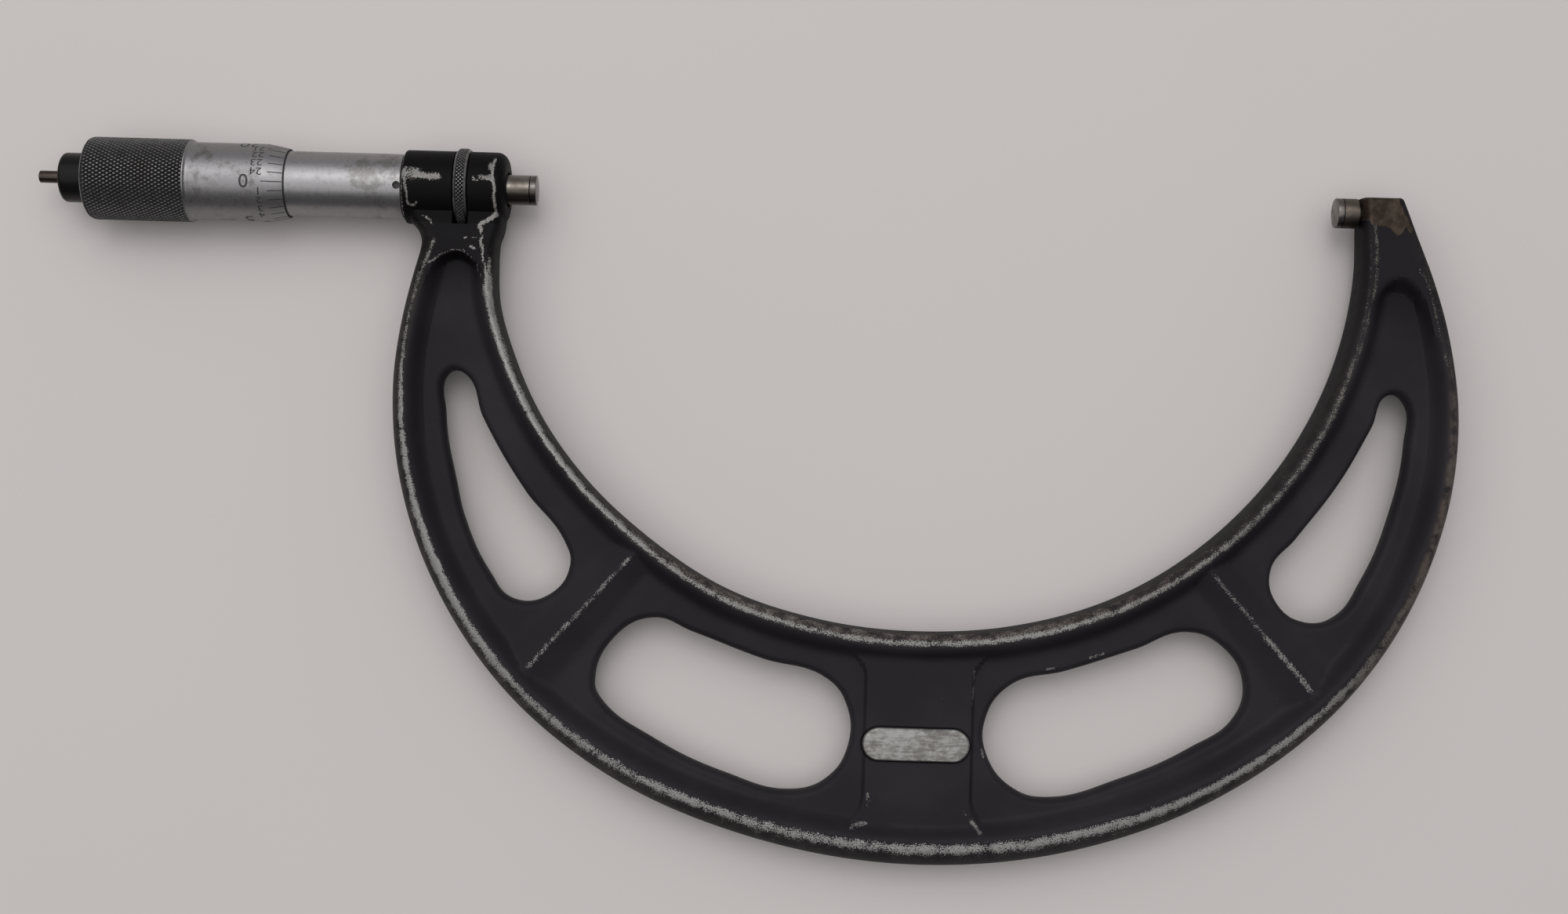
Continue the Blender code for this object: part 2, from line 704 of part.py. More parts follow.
def make_ratchet():
    """The black cap that clicks, then the stem, the toothed pieces and the spring in it."""
    cap_right = pocket_floor - cap_end_gap
    cap_left = cap_right - cap_length
    cavity_left = cap_left + cap_end_wall
    cap_bore = cap_radius - cap_wall
    groove_x = thimble_left + ratchet_pocket_depth / 2
    groove_half = clip_half_width + clip_groove
    groove_radius = clip_inner_radius - clip_groove
    arc = [math.radians(22.5 * k) for k in range(5)]
    rounded = [(cap_left + cap_rounding - cap_rounding * math.sin(a),
                cap_radius - cap_rounding + cap_rounding * math.cos(a)) for a in arc]
    hole = stem_shank_radius + running_gap
    outline = [(cap_right, cap_bore), (cap_right, cap_radius), (groove_x + groove_half, cap_radius),
               (groove_x + groove_half, groove_radius), (groove_x - groove_half, groove_radius),
               (groove_x - groove_half, cap_radius)] + rounded + [
               (cap_left, hole), (cavity_left, hole), (cavity_left, cap_bore)]
    turned("ratchet_cap", outline, "black_oxide", steps=32, ring=True)
    make_stem(cap_left - running_gap, cavity_left + running_gap)
    disc_left = make_wheel_and_disc(cavity_left + running_gap)
    make_spring(cavity_left + running_gap + spring_wire_radius,
                disc_left - click_lift - spring_wire_radius - tooth_clearance)


def make_stem(stem_right, flange_left):
    """The bare stem, its shank through the cap's end and its flange inside the cap."""
    stem = [(flange_left + stem_flange_length, 0.0),
            (flange_left + stem_flange_length, stem_flange_radius),
            (flange_left, stem_flange_radius), (flange_left, stem_shank_radius),
            (stem_right, stem_shank_radius), (stem_right, stem_radius),
            (stem_right - stem_length + edge_break, stem_radius),
            (stem_right - stem_length, stem_radius - edge_break), (stem_right - stem_length, 0.0)]
    turned("ratchet_stem", stem, "dark_steel", steps=32)


def make_wheel_and_disc(pin_left):
    """The toothed wheel held by the screw, and the sprung disc with its drive pin."""
    wheel_right = pocket_floor - running_gap
    wheel_left = wheel_right - wheel_length
    wheel = toothed_disc("ratchet_wheel", wheel_right, wheel_left, wheel_radius,
                         screw_radius + running_gap, "dark_steel")
    seat = rod_outline(wheel_left - wheel_length, wheel_left + screw_head_length + running_gap,
                       screw_head_radius + running_gap)
    combine(wheel, turned("screw_seat", seat, steps=32), "DIFFERENCE")
    head_left = wheel_left + tooth_clearance
    head_right = head_left + screw_head_length
    tip = spindle_left + screw_length - running_gap
    screw = [(tip, 0.0), (tip, screw_radius - edge_break), (tip - edge_break, screw_radius),
             (head_right, screw_radius), (head_right, screw_head_radius),
             (head_left, screw_head_radius), (head_left, 0.0)]
    fixing = turned("thimble_screw", screw, "dark_steel", steps=32)
    slot = block("screw_slot", (head_left, 0.0, 0.0),
                 (screw_head_length, 3 * screw_head_radius, screw_slot_width))
    combine(fixing, slot, "DIFFERENCE")
    disc_right = wheel_left - tooth_height - tooth_clearance
    disc_left = disc_right - disc_length
    disc = toothed_disc("ratchet_disc", disc_left, disc_right, disc_radius, screw_radius,
                        "dark_steel")
    pin_hole = rod("drive_pin_hole", (disc_left, drive_pin_place, 0.0), (1, 0, 0),
                   drive_pin_radius + pin_clearance, 6 * disc_length, sides=12)
    combine(disc, pin_hole, "DIFFERENCE")
    pin_right = disc_right - tooth_height
    rod("drive_pin", ((pin_left + pin_right) / 2, drive_pin_place, 0.0), (1, 0, 0),
        drive_pin_radius, pin_right - pin_left, "spring_steel", sides=12)
    return disc_left


def make_spring(left, right):
    """Three open turns of round wire along the axis."""
    curve = bpy.data.curves.new("ratchet_spring", "CURVE")
    curve.dimensions = "3D"
    curve.bevel_depth = spring_wire_radius
    curve.bevel_resolution = 2
    curve.use_fill_caps = True
    steps = 12 * spring_turns
    spline = curve.splines.new("POLY")
    spline.points.add(steps)
    for k, knot in enumerate(spline.points):
        turn = 2 * math.pi * spring_turns * k / steps
        x = left + (right - left) * k / steps
        knot.co = (x, spring_radius * math.cos(turn), spring_radius * math.sin(turn), 1.0)
    spring = bpy.data.objects.new("ratchet_spring", curve)
    curve.materials.append(finish_material("spring_steel"))
    parts.objects.link(spring)


clear_scene()
parts = new_collection("Outside micrometer")
cutters = new_collection("Cutters")
make_frame()
make_anvil()
make_barrel()
make_sleeve()
make_adjusting_nut()
make_lock()
make_spindle()
make_thimble()
make_ratchet()
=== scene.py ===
"""Fine surfaces, scales and finishes of a large outside micrometer that lies on a pale table.

Lengths inside the making functions are millimetres, and are turned to metres where a mesh
is made. +X runs along the spindle to the anvil, +Y away from the bow, +Z to the viewer.
"""
import math

import bmesh
import bpy
import numpy as np
from bpy.props import FloatProperty, FloatVectorProperty, IntProperty, PointerProperty
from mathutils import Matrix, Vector
from mathutils.geometry import delaunay_2d_cdt


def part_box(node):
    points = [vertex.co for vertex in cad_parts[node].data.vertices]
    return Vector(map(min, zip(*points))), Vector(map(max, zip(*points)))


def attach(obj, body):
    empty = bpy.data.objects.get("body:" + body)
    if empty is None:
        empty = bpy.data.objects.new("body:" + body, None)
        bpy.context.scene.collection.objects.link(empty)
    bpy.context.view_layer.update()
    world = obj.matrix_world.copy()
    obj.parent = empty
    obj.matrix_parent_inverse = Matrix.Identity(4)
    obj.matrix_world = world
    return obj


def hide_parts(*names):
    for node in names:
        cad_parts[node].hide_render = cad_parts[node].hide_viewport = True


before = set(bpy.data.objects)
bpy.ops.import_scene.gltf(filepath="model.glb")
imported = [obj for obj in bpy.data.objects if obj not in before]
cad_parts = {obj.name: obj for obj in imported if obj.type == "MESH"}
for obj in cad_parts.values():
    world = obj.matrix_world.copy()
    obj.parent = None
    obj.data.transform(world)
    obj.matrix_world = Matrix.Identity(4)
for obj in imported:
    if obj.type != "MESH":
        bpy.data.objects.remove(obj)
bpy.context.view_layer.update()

bl_info = {
    "name": "Outside micrometer",
    "version": (1, 0, 0),
    "blender": (4, 5, 0),
    "location": "View3D > Sidebar > Micrometer",
    "description": "Builds the bow, spindle, thimble and scales of a large outside micrometer",
    "category": "Mesh",
}

MM = 0.001

# Measures of the turned pieces, in millimetres
SPINDLE_RADIUS = 3.175
SLEEVE_RADIUS = 6.9
HUB_RADIUS = 7.8
HUB_LENGTH = 21.6
HUB_SETBACK = 40.6
ANVIL_LENGTH = 4.85
THREAD_PITCH = 0.635
TRAVEL_TO_CLOSED = 17.8
INK_HEIGHT = 0.012
HOLE_SETBACK = 0.8

# The photo's scale and width, from which the camera's lens follows
PIXELS_PER_MM = 5.98
PHOTO_WIDTH = 2000.0


def node_span(name):
    """Lowest and highest x of a solid of the frame, in millimetres."""
    low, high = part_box(name)
    return low.x / MM, high.x / MM


# Places along the spindle axis, read from the loaded frame
hub_left = node_span("barrel")[0] + HUB_SETBACK
hub_right = hub_left + HUB_LENGTH
ring_left, ring_right = node_span("lock_ring")
thimble_left, thimble_right = node_span("thimble")
sleeve_left, sleeve_right = node_span("graduated_sleeve")
spindle_left, spindle_right = node_span("spindle")
tip_left, tip_right = node_span("spindle_tip")
anvil_left, anvil_right = node_span("anvil")
cap_left, cap_right = node_span("ratchet_cap")
stem_left, stem_right = node_span("ratchet_stem")


def linked(name, data):
    """A new object in the scene."""
    thing = bpy.data.objects.new(name, data)
    bpy.context.scene.collection.objects.link(thing)
    return thing


def final_mesh(thing, read):
    """What a function reads from an object's mesh after its modifiers."""
    bpy.context.view_layer.update()
    ready = thing.evaluated_get(bpy.context.evaluated_depsgraph_get())
    result = read(ready.to_mesh())
    ready.to_mesh_clear()
    return result


def colour_property(name, description, default):
    return FloatVectorProperty(name=name, description=description, default=default,
                               subtype="COLOR", size=3, min=0.0, max=1.0)


def size_property(name, description, default):
    """A length that is kept in millimetres."""
    return FloatProperty(name=name, description=description, default=default, min=0.0)


class BowSettings(bpy.types.PropertyGroup):
    throat_radius: size_property("Throat radius", "Radius of the throat of the bow, mm", 91.6)
    flange_half: size_property("Flange", "Half thickness of the bow at its crests, mm", 6.5)
    web_half: size_property("Web", "Half thickness of the web between the flanges, mm", 2.6)
    strut_half: size_property("Strut", "Half thickness at the ridge of a strut, mm", 5.0)
    panel_half: size_property("Panel", "Half thickness of the middle panel, mm", 3.7)
    pad_half: size_property("Pad", "Height of the oval pad over the middle plane, mm", 4.6)
    line_step: FloatProperty(name="Line step", description="Degrees between crosswise lines",
                             default=0.45, min=0.2, max=3.0)
    enamel: colour_property("Enamel", "Colour of the black enamel", (0.0030, 0.0026, 0.0030))
    worn: colour_property("Worn steel", "Colour of the steel where enamel is gone",
                          (0.42, 0.415, 0.40))
    rubbed: colour_property("Rubbed brown", "Colour of the dull brown places on the crests",
                            (0.150, 0.118, 0.094))


class DialSettings(bpy.types.PropertyGroup):
    divisions: IntProperty(name="Divisions", description="Divisions round the thimble",
                           default=25, min=5, max=100)
    line_width: size_property("Line width", "Width of a graduation line, mm", 0.2)
    knurl_depth: size_property("Knurl depth", "Depth of the thimble's knurl, mm", 0.33)
    chrome: colour_property("Chrome", "Colour of the satin chrome", (0.295, 0.289, 0.292))
    ink: colour_property("Ink", "Colour in the engraved lines", (0.02, 0.019, 0.018))


class SteelSettings(bpy.types.PropertyGroup):
    ground: colour_property("Ground steel", "Colour of the polished steel", (0.185, 0.172, 0.158))
    stain: colour_property("Stain", "Colour of old oil stains", (0.085, 0.066, 0.050))
    dark: colour_property("Dark steel", "Colour of the dark oiled steel", (0.13, 0.11, 0.10))
    black: colour_property("Black oxide", "Colour of the ratchet cap", (0.0045, 0.0042, 0.0040))


class StageSettings(bpy.types.PropertyGroup):
    height: FloatProperty(name="Camera height", description="Camera over the middle plane",
                          default=0.415, unit="LENGTH")
    floor_tilt: FloatProperty(name="Floor tilt", description="Slope of the floor along Y",
                              default=math.radians(0.914), subtype="ANGLE")
    floor: colour_property("Floor", "Colour of the pale table", (0.62, 0.582, 0.565))


# Shader building

class Value:
    """A number or vector in a material's nodes, which reads as a plain expression."""

    def __init__(self, finish, socket):
        self.finish = finish
        self.socket = socket

    def maths(self, operation, first, second=0.5, third=0.5):
        return self.finish.node("Math", {"operation": operation},
                                {0: first, 1: second, 2: third})

    def __add__(self, other):
        return self.maths("ADD", self, other)

    def __sub__(self, other):
        return self.maths("SUBTRACT", self, other)

    def __mul__(self, other):
        return self.maths("MULTIPLY", self, other)

    def __truediv__(self, other):
        return self.maths("DIVIDE", self, other)

    def __pow__(self, other):
        return self.maths("POWER", self, other)

    def __rsub__(self, other):
        return self.maths("SUBTRACT", other, self)

    __radd__ = __add__
    __rmul__ = __mul__

    def larger(self, other):
        return self.maths("MAXIMUM", self, other)

    def step(self, low, high):
        """0 below low, 1 above high, smooth between; high under low turns it round."""
        return self.finish.node("MapRange", {"interpolation_type": "SMOOTHSTEP"},
                                {0: self, 1: low, 2: high})


class Finish:
    """A material or world being made: nodes are added through one method."""

    def __init__(self, name, roughness=0.4, metallic=0.0, world=False):
        made = bpy.data.worlds if world else bpy.data.materials
        self.material = made.new(name)
        self.material.use_nodes = True
        self.tree = self.material.node_tree
        self.shader = self.tree.nodes["Background" if world else "Principled BSDF"]
        if not world:
            self.set("Roughness", roughness)
            self.set("Metallic", metallic)

    def fill(self, socket, value):
        if isinstance(value, Value):
            self.tree.links.new(value.socket, socket)
        elif socket.type == "RGBA" and len(value) == 3:
            socket.default_value = (*value, 1.0)
        else:
            socket.default_value = value

    def set(self, name, value):
        self.fill(self.shader.inputs[name], value)

    def node(self, kind, settings=None, inputs=None, output=0):
        made = self.tree.nodes.new("ShaderNode" + kind)
        for key, value in (settings or {}).items():
            if key == "stops":
                ramp = made.color_ramp
                while len(ramp.elements) < len(value):
                    ramp.elements.new(0.5)
                for element, (spot, colour) in zip(ramp.elements, value):
                    element.position = spot
                    element.color = (*colour, 1.0)
            else:
                setattr(made, key, value)
        for key, value in (inputs or {}).items():
            self.fill(made.inputs[key], value)
        return Value(self, made.outputs[output])

    def place(self):
        return self.node("TexCoord", output="Object")

    def field(self, name):
        return self.node("Attribute", {"attribute_name": name}, output="Fac")

    def noise(self, scale, detail=4.0, rough=0.6, where=None, stretch=None):
        where = where or self.place()
        if stretch:
            where = self.node("VectorMath", {"operation": "MULTIPLY"}, {0: where, 1: stretch})
        return self.node("TexNoise", {}, {"Vector": where, "Scale": scale, "Detail": detail,
                                          "Roughness": rough})

    def mix(self, share, first, second):
        return self.node("Mix", {"data_type": "RGBA"}, {0: share, 6: first, 7: second}, output=2)

    def ramp(self, value, stops):
        return self.node("ValToRGB", {"stops": stops}, {0: value})

    def bump(self, height, strength, distance, under=None):
        inputs = {"Height": height, "Strength": strength, "Distance": distance}
        if under:
            inputs["Normal"] = under
        return self.node("Bump", {}, inputs)

    def parts(self, where):
        """The three coordinates of a place or direction."""
        made = self.tree.nodes.new("ShaderNodeSeparateXYZ")
        self.fill(made.inputs[0], where)
        return [Value(self, output) for output in made.outputs]

    def from_axis(self):
        """Distance from the spindle axis, for turned pieces."""
        _, y, z = self.parts(self.place())
        return (y * y + z * z) ** 0.5


# Mesh building

def make_piece(name, points, faces, finish, body, replaced=(), slot=None, fields=None, sharp=35.0):
    """A mesh object from points in millimetres, riding on a body of the frame."""
    mesh = bpy.data.meshes.new(name)
    mesh.from_pydata((np.asarray(points, float) * MM).tolist(), [], faces)
    mesh.validate()
    for field, values in (fields or {}).items():
        layer = mesh.attributes.new(field, "FLOAT", "POINT")
        layer.data.foreach_set("value", np.asarray(values, np.float32))
    mesh.shade_smooth()
    mesh.set_sharp_from_angle(angle=math.radians(sharp))
    thing = linked(name, mesh)
    mesh.materials.append(finish)
    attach(thing, body)
    for node in replaced:
        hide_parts(node)
    return thing


class Shape:
    """Points and faces that are gathered from several surfaces."""

    def __init__(self):
        self.points = []
        self.faces = []

    def add(self, points, faces, turn_over=False):
        start = len(self.points)
        self.points.extend(tuple(p) for p in points)
        for face in faces:
            moved = [start + i for i in face]
            self.faces.append(tuple(reversed(moved)) if turn_over else tuple(moved))

    def welded(self, distance=0.0005):
        """The same surface with its meeting points joined."""
        mesh = bmesh.new()
        verts = [mesh.verts.new(p) for p in self.points]
        for face in self.faces:
            if len(set(face)) > 2:
                mesh.faces.new([verts[i] for i in face])
        bmesh.ops.remove_doubles(mesh, verts=mesh.verts, dist=distance)
        bmesh.ops.dissolve_degenerate(mesh, edges=mesh.edges, dist=distance / 10)
        loose = [v for v in mesh.verts if not v.link_faces]
        bmesh.ops.delete(mesh, geom=loose, context="VERTS")
        mesh.verts.ensure_lookup_table()
        points = [tuple(v.co) for v in mesh.verts]
        index = {v: i for i, v in enumerate(mesh.verts)}
        faces = [tuple(index[v] for v in f.verts) for f in mesh.faces]
        mesh.free()
        return points, faces


def softened(outline, radius, steps=3):
    """An outline of (x, r) points whose corners are rounded."""
    result = [outline[0]]
    for before, corner, after in zip(outline, outline[1:], outline[2:]):
        a, c, b = np.array(before, float), np.array(corner, float), np.array(after, float)
        in_length, out_length = np.linalg.norm(a - c), np.linalg.norm(b - c)
        reach = min(radius, in_length * 0.45, out_length * 0.45)
        start = c + (a - c) / in_length * reach
        end = c + (b - c) / out_length * reach
        for k in range(steps + 1):
            t = k / steps
            result.append(tuple((1 - t) ** 2 * start + 2 * t * (1 - t) * c + t * t * end))
    result.append(outline[-1])
    return result


def refined(outline, longest):
    """An outline with points added so that no run along it is longer than a length."""
    result = [outline[0]]
    for (x0, r0), (x1, r1) in zip(outline, outline[1:]):
        count = max(1, math.ceil(math.hypot(x1 - x0, r1 - r0) / longest))
        for k in range(1, count + 1):
            result.append((x0 + (x1 - x0) * k / count, r0 + (r1 - r0) * k / count))
    return result


def revolve(outline, steps, closed=False):
    """Points and faces of an outline of (x, r) turned round the spindle axis.

    With an outline that runs down the outer side from high x to low x, the faces look inwards.
    """
    turns = [2 * math.pi * k / steps for k in range(steps)]
    points = [(x, r * math.cos(t), r * math.sin(t)) for x, r in outline for t in turns]
    rows = len(outline)
    faces = []
    for i in range(rows if closed else rows - 1):
        below = (i + 1) % rows
        for k in range(steps):
            after = (k + 1) % steps
            faces.append((i * steps + k, i * steps + after, below * steps + after,
                          below * steps + k))
    return points, faces


def turned_piece(name, outline, steps, finish, body, replaced=(), slot=None, closed=False):
    """A piece from an outline that runs from high x to low x, its faces turned outwards."""
    shape = Shape()
    shape.add(*revolve(outline, steps, closed))
    points, faces = shape.welded()
    faces = [tuple(reversed(face)) for face in faces]
    return make_piece(name, points, faces, finish, body, replaced, slot)


def outward(points, faces):
    """Faces of closed shapes turned outwards, without doubled or folded ones."""
    form = bmesh.new()
    verts = [form.verts.new(p) for p in points]
    single = {frozenset(face): face for face in faces if len(set(face)) == len(face)}
    made = [form.faces.new([verts[i] for i in face]) for face in single.values()]
    bmesh.ops.recalc_face_normals(form, faces=form.faces)
    form.verts.index_update()
    turned = [tuple(v.index for v in face.verts) for face in made]
    form.free()
    return turned


# The bow as a surface over the middle plane. For each angle: how far its inner edge lies
# outside the throat's radius, the width across it, and the half thickness at its crests.

bow_rows = [
    (177.0, -1.4, 21.0, 5.5), (179.4, -1.2, 20.4, 5.6), (180.8, -0.8, 17.8, 5.7),
    (182.2, 0.0, 16.4, 5.9), (185.0, 0.5, 17.5, 6.2), (190.0, 1.1, 20.5, 6.5),
    (197.0, 0.4, 26.3, 6.5), (206.0, -0.6, 32.7, 6.5), (216.0, -2.2, 38.8, 6.5),
    (228.5, -4.25, 44.55, 6.5), (241.0, -5.4, 46.9, 6.5), (255.0, -7.1, 48.4, 6.5),
    (270.5, -7.8, 49.5, 6.5), (285.0, -6.9, 49.1, 6.5), (299.0, -5.2, 47.5, 6.5),
    (311.5, -3.8, 45.0, 6.5), (322.0, -2.6, 40.9, 6.5), (333.0, -1.4, 34.6, 6.5),
    (342.0, -0.6, 28.1, 6.5), (350.0, -0.1, 21.3, 6.4), (357.0, 0.1, 15.5, 5.9),
    (362.0, 0.0, 11.8, 5.4), (367.0, 0.35, 8.5, 5.0),
]
strut_angles = (228.5, 311.55)
flange_slope = 4.0
strut_spread = 5.5
bow_drop = 8.0
THROAT_RADIUS = 91.6
nose_radius = THROAT_RADIUS + bow_rows[-1][1]
nose_angle = math.degrees(math.asin((3.0 + bow_drop) / nose_radius))
bow_x = ANVIL_LENGTH - nose_radius * math.cos(math.radians(nose_angle))
bow_y = -bow_drop
bow_lines = [
    (177.0, 177.0, 177.0), (183.0, 183.0, 183.0), (228.5, 228.4, 228.6), (263.9, 262.5, 265.3),
    (276.65, 278.2, 275.1), (311.55, 311.9, 311.2), (366.6, nose_angle + 360.0, nose_angle + 359.4),
]
panel_sides = (bow_x - 10.9, bow_x + 11.9)
pad_centre = (bow_x, -115.3)
pad_size = (22.8, 7.1)

# Widths of the two crests: angle, inner, outer
crest_rows = np.array([
    (177, 2.4, 2.6), (186, 1.7, 3.3), (205, 1.6, 3.6), (216, 1.7, 3.8), (230, 2.2, 4.4),
    (250, 2.7, 5.1), (270, 2.8, 5.7), (290, 2.7, 5.7), (305, 2.3, 4.9), (318, 2.0, 4.2),
    (335, 1.9, 3.4), (350, 2.1, 2.8), (367, 2.4, 2.4),
])

# Round ends of the pocket between the flanges: angle and radius of the middle, and their size
pocket_ends = ((186.4, 100.5, 5.7, 2.2), (353.9, 99.7, 4.9, 3.2))

windows = {
    "left_arm": [(197.20, 0.528), (201.60, 0.608), (209.10, 0.658), (212.72, 0.690),
                 (218.74, 0.709), (222.37, 0.688), (224.72, 0.532), (223.84, 0.356),
                 (221.28, 0.298), (213.53, 0.308), (203.60, 0.354), (197.80, 0.412)],
    "left_bottom": [(235.55, 0.284), (233.31, 0.466), (234.55, 0.684), (236.01, 0.729),
                    (242.59, 0.754), (250.81, 0.767), (257.39, 0.756), (260.77, 0.676),
                    (262.53, 0.517), (261.45, 0.334), (258.44, 0.243), (249.87, 0.232),
                    (240.61, 0.243)],
    "right_bottom": [(298.22, 0.241), (289.13, 0.233), (281.96, 0.247), (278.41, 0.372),
                     (277.97, 0.533), (280.55, 0.701), (283.72, 0.757), (290.88, 0.758),
                     (298.79, 0.751), (304.22, 0.730), (306.93, 0.622), (307.42, 0.437),
                     (304.85, 0.281)],
    "right_arm": [(342.80, 0.448), (338.40, 0.380), (330.59, 0.323), (322.29, 0.291),
                  (317.45, 0.300), (315.25, 0.438), (316.03, 0.599), (318.54, 0.696),
                  (323.49, 0.706), (330.69, 0.680), (338.20, 0.642), (342.60, 0.580)],
}


def row_value(column, angle):
    """A smooth value between rows of the bow's table, by cubic pieces through each row."""
    spots = [row[0] for row in bow_rows]
    angle = min(max(angle, spots[0]), spots[-1])
    k = max(i for i in range(len(bow_rows) - 1) if spots[i] <= angle)
    before, after = max(k - 1, 0), min(k + 2, len(bow_rows) - 1)

    def slope(low, high):
        return (bow_rows[high][column] - bow_rows[low][column]) / (spots[high] - spots[low])

    span = spots[k + 1] - spots[k]
    t = (angle - spots[k]) / span
    start, end = bow_rows[k][column], bow_rows[k + 1][column]
    start_slope, end_slope = slope(before, k + 1) * span, slope(k, after) * span
    return (start * (1 + 2 * t) * (1 - t) ** 2 + start_slope * t * (1 - t) ** 2
            + end * t * t * (3 - 2 * t) - end_slope * t * t * (1 - t))


def smooth_rise(value, start, span):
    t = np.clip((np.asarray(value, float) - start) / span, 0.0, 1.0)
    return t * t * (3 - 2 * t)


def blend_up(a, b, reach):
    """The larger of two heights, with a fillet of the given reach where they cross."""
    h = np.clip(0.5 + 0.5 * (a - b) / reach, 0.0, 1.0)
    return b + (a - b) * h + reach * h * (1 - h)


class Bow:
    """Heights and edges of the bow, and the wear on it, for arrays of places in mm."""

    def __init__(self, sizes):
        self.sizes = sizes
        self.angles = np.arange(176.0, 368.01, 0.1)
        unit = sizes.throat_radius / THROAT_RADIUS
        self.inner = np.array([sizes.throat_radius + row_value(1, a) * unit for a in self.angles])
        self.outer = self.inner + np.array([row_value(2, a) * unit for a in self.angles]) - 0.1
        self.crest = np.array([sizes.flange_half * row_value(3, a) / 6.5 for a in self.angles])

    def polar(self, x, y):
        angle = np.degrees(np.arctan2(y - bow_y, x - bow_x)) % 360.0
        angle = np.where(angle < 100.0, angle + 360.0, angle)
        return angle, np.hypot(x - bow_x, y - bow_y)

    def edges_at(self, angle):
        return np.interp(angle, self.angles, self.inner), np.interp(angle, self.angles, self.outer)

    def crests_at(self, angle):
        """Widths of the inner and outer crest, and how far both are squeezed together."""
        inner_width = np.interp(angle, crest_rows[:, 0], crest_rows[:, 1])
        outer_width = np.interp(angle, crest_rows[:, 0], crest_rows[:, 2])
        inner, outer = self.edges_at(angle)
        room = (outer - inner - 1.0) / (inner_width + outer_width + 2 * flange_slope)
        return inner_width, outer_width, np.minimum(1.0, room)

    def point(self, angle, radius):
        turn = np.radians(angle)
        return bow_x + radius * np.cos(turn), bow_y + radius * np.sin(turn)

    def flank(self, distance, crest, height, power):
        share = np.clip(distance / crest, 0, 1)
        rounding = height * (1 - (1 - share) ** power) ** (1 / power)
        fall = np.clip((distance - crest) / flange_slope, 0.0, 1.0)
        web = self.sizes.web_half
        slope = web + (height - web) * (0.5 + 0.5 * np.cos(math.pi * fall))
        return np.where(distance <= crest, rounding, slope)

    def distances(self, x, y):
        """Distances from the inner and outer edge, narrowed where the bow is slim."""
        angle, radius = self.polar(x, y)
        inner, outer = self.edges_at(angle)
        inner_width, outer_width, squeeze = self.crests_at(angle)
        from_inner, from_outer = (radius - inner) / squeeze, (outer - radius) / squeeze
        return angle, from_inner, from_outer, inner_width, outer_width

    def height(self, x, y):
        """Half thickness over the middle plane, before windows and pad."""
        sizes = self.sizes
        angle, from_inner, from_outer, inner_width, outer_width = self.distances(x, y)
        crest = np.interp(angle, self.angles, self.crest)
        inner_side = self.flank(np.maximum(from_inner, 0.0), inner_width, crest, 3.0)
        outer_side = self.flank(np.maximum(from_outer, 0.0), outer_width, crest, 2.3)
        hollow = np.maximum(inner_side, outer_side)
        middle = np.full_like(hollow, sizes.web_half)
        _, radius = self.polar(x, y)
        for strut in strut_angles:
            away = np.abs(angle - strut) * math.radians(1.0) * 1.2 * sizes.throat_radius
            ridge = np.sqrt(away ** 2 + 0.35 ** 2) - 0.35
            rise = sizes.web_half + (sizes.strut_half - sizes.web_half) * (1 - ridge / strut_spread)
            middle = blend_up(rise, middle, 0.5)
        flare = 0.16 * np.maximum(9.8 - from_inner, 0.0) ** 2
        flare = flare + 0.07 * np.maximum(14.5 - from_outer, 0.0) ** 2
        inside = np.minimum(x - panel_sides[0] + flare, panel_sides[1] - x + flare)
        panel = (sizes.panel_half - sizes.web_half) * smooth_rise(inside, -0.5, 0.95)
        middle = middle + np.where((angle > 250) & (angle < 290), panel, 0.0)
        floor_height = blend_up(hollow, middle, 0.45)
        depth = np.ones_like(hollow)
        for (at, out, size, ramp), sign in zip(pocket_ends, (1, -1)):
            beyond = sign * np.radians(at - angle) * out
            end = size - 0.72 * np.minimum(np.abs(radius - out), 1.7 * size) ** 2 / size
            depth = depth * smooth_rise(end - beyond, 0.0, ramp)
        solid = (from_inner <= inner_width) | (from_outer <= outer_width)
        edge_height = np.where(from_inner <= inner_width, inner_side, outer_side)
        inner_part = crest - depth * (crest - np.minimum(floor_height, crest))
        return np.where(solid, edge_height, inner_part)

    def window_outline(self, corners, spacing=0.45):
        """A window's smooth outline, as evenly spaced points anticlockwise."""
        curve = bpy.data.curves.new("window", "CURVE")
        curve.resolution_u = 24
        spline = curve.splines.new("BEZIER")
        spline.use_cyclic_u = True
        spline.bezier_points.add(len(corners) - 1)
        for knot, (angle, share) in zip(spline.bezier_points, corners):
            inner, outer = self.edges_at(angle)
            x, y = self.point(angle, inner + share * (outer - inner))
            knot.co = (x, y, 0.0)
            knot.handle_left_type = knot.handle_right_type = "AUTO"
        drawn = linked("window", curve)
        points = final_mesh(drawn, lambda mesh: np.array([v.co[:2] for v in mesh.vertices]))
        bpy.data.objects.remove(drawn, do_unlink=True)
        bpy.data.curves.remove(curve)
        return even_loop(points, spacing)


def even_loop(points, spacing):
    """A closed loop with evenly spaced points, run anticlockwise."""
    after = np.roll(points, -1, axis=0)
    area = np.sum(points[:, 0] * after[:, 1] - after[:, 0] * points[:, 1])
    if area < 0:
        points = points[::-1]
    closed = np.vstack([points, points[:1]])
    along = np.concatenate([[0], np.cumsum(np.linalg.norm(np.diff(closed, axis=0), axis=1))])
    count = max(12, round(along[-1] / spacing))
    spots = np.linspace(0, along[-1], count, endpoint=False)
    return np.stack([np.interp(spots, along, closed[:, i]) for i in (0, 1)], axis=1)


def offset_loop(loop, distance):
    """The loop moved outwards along its normals."""
    along = np.roll(loop, -1, axis=0) - np.roll(loop, 1, axis=0)
    along /= np.linalg.norm(along, axis=1)[:, None]
    return loop + distance * np.stack([along[:, 1], -along[:, 0]], axis=1)


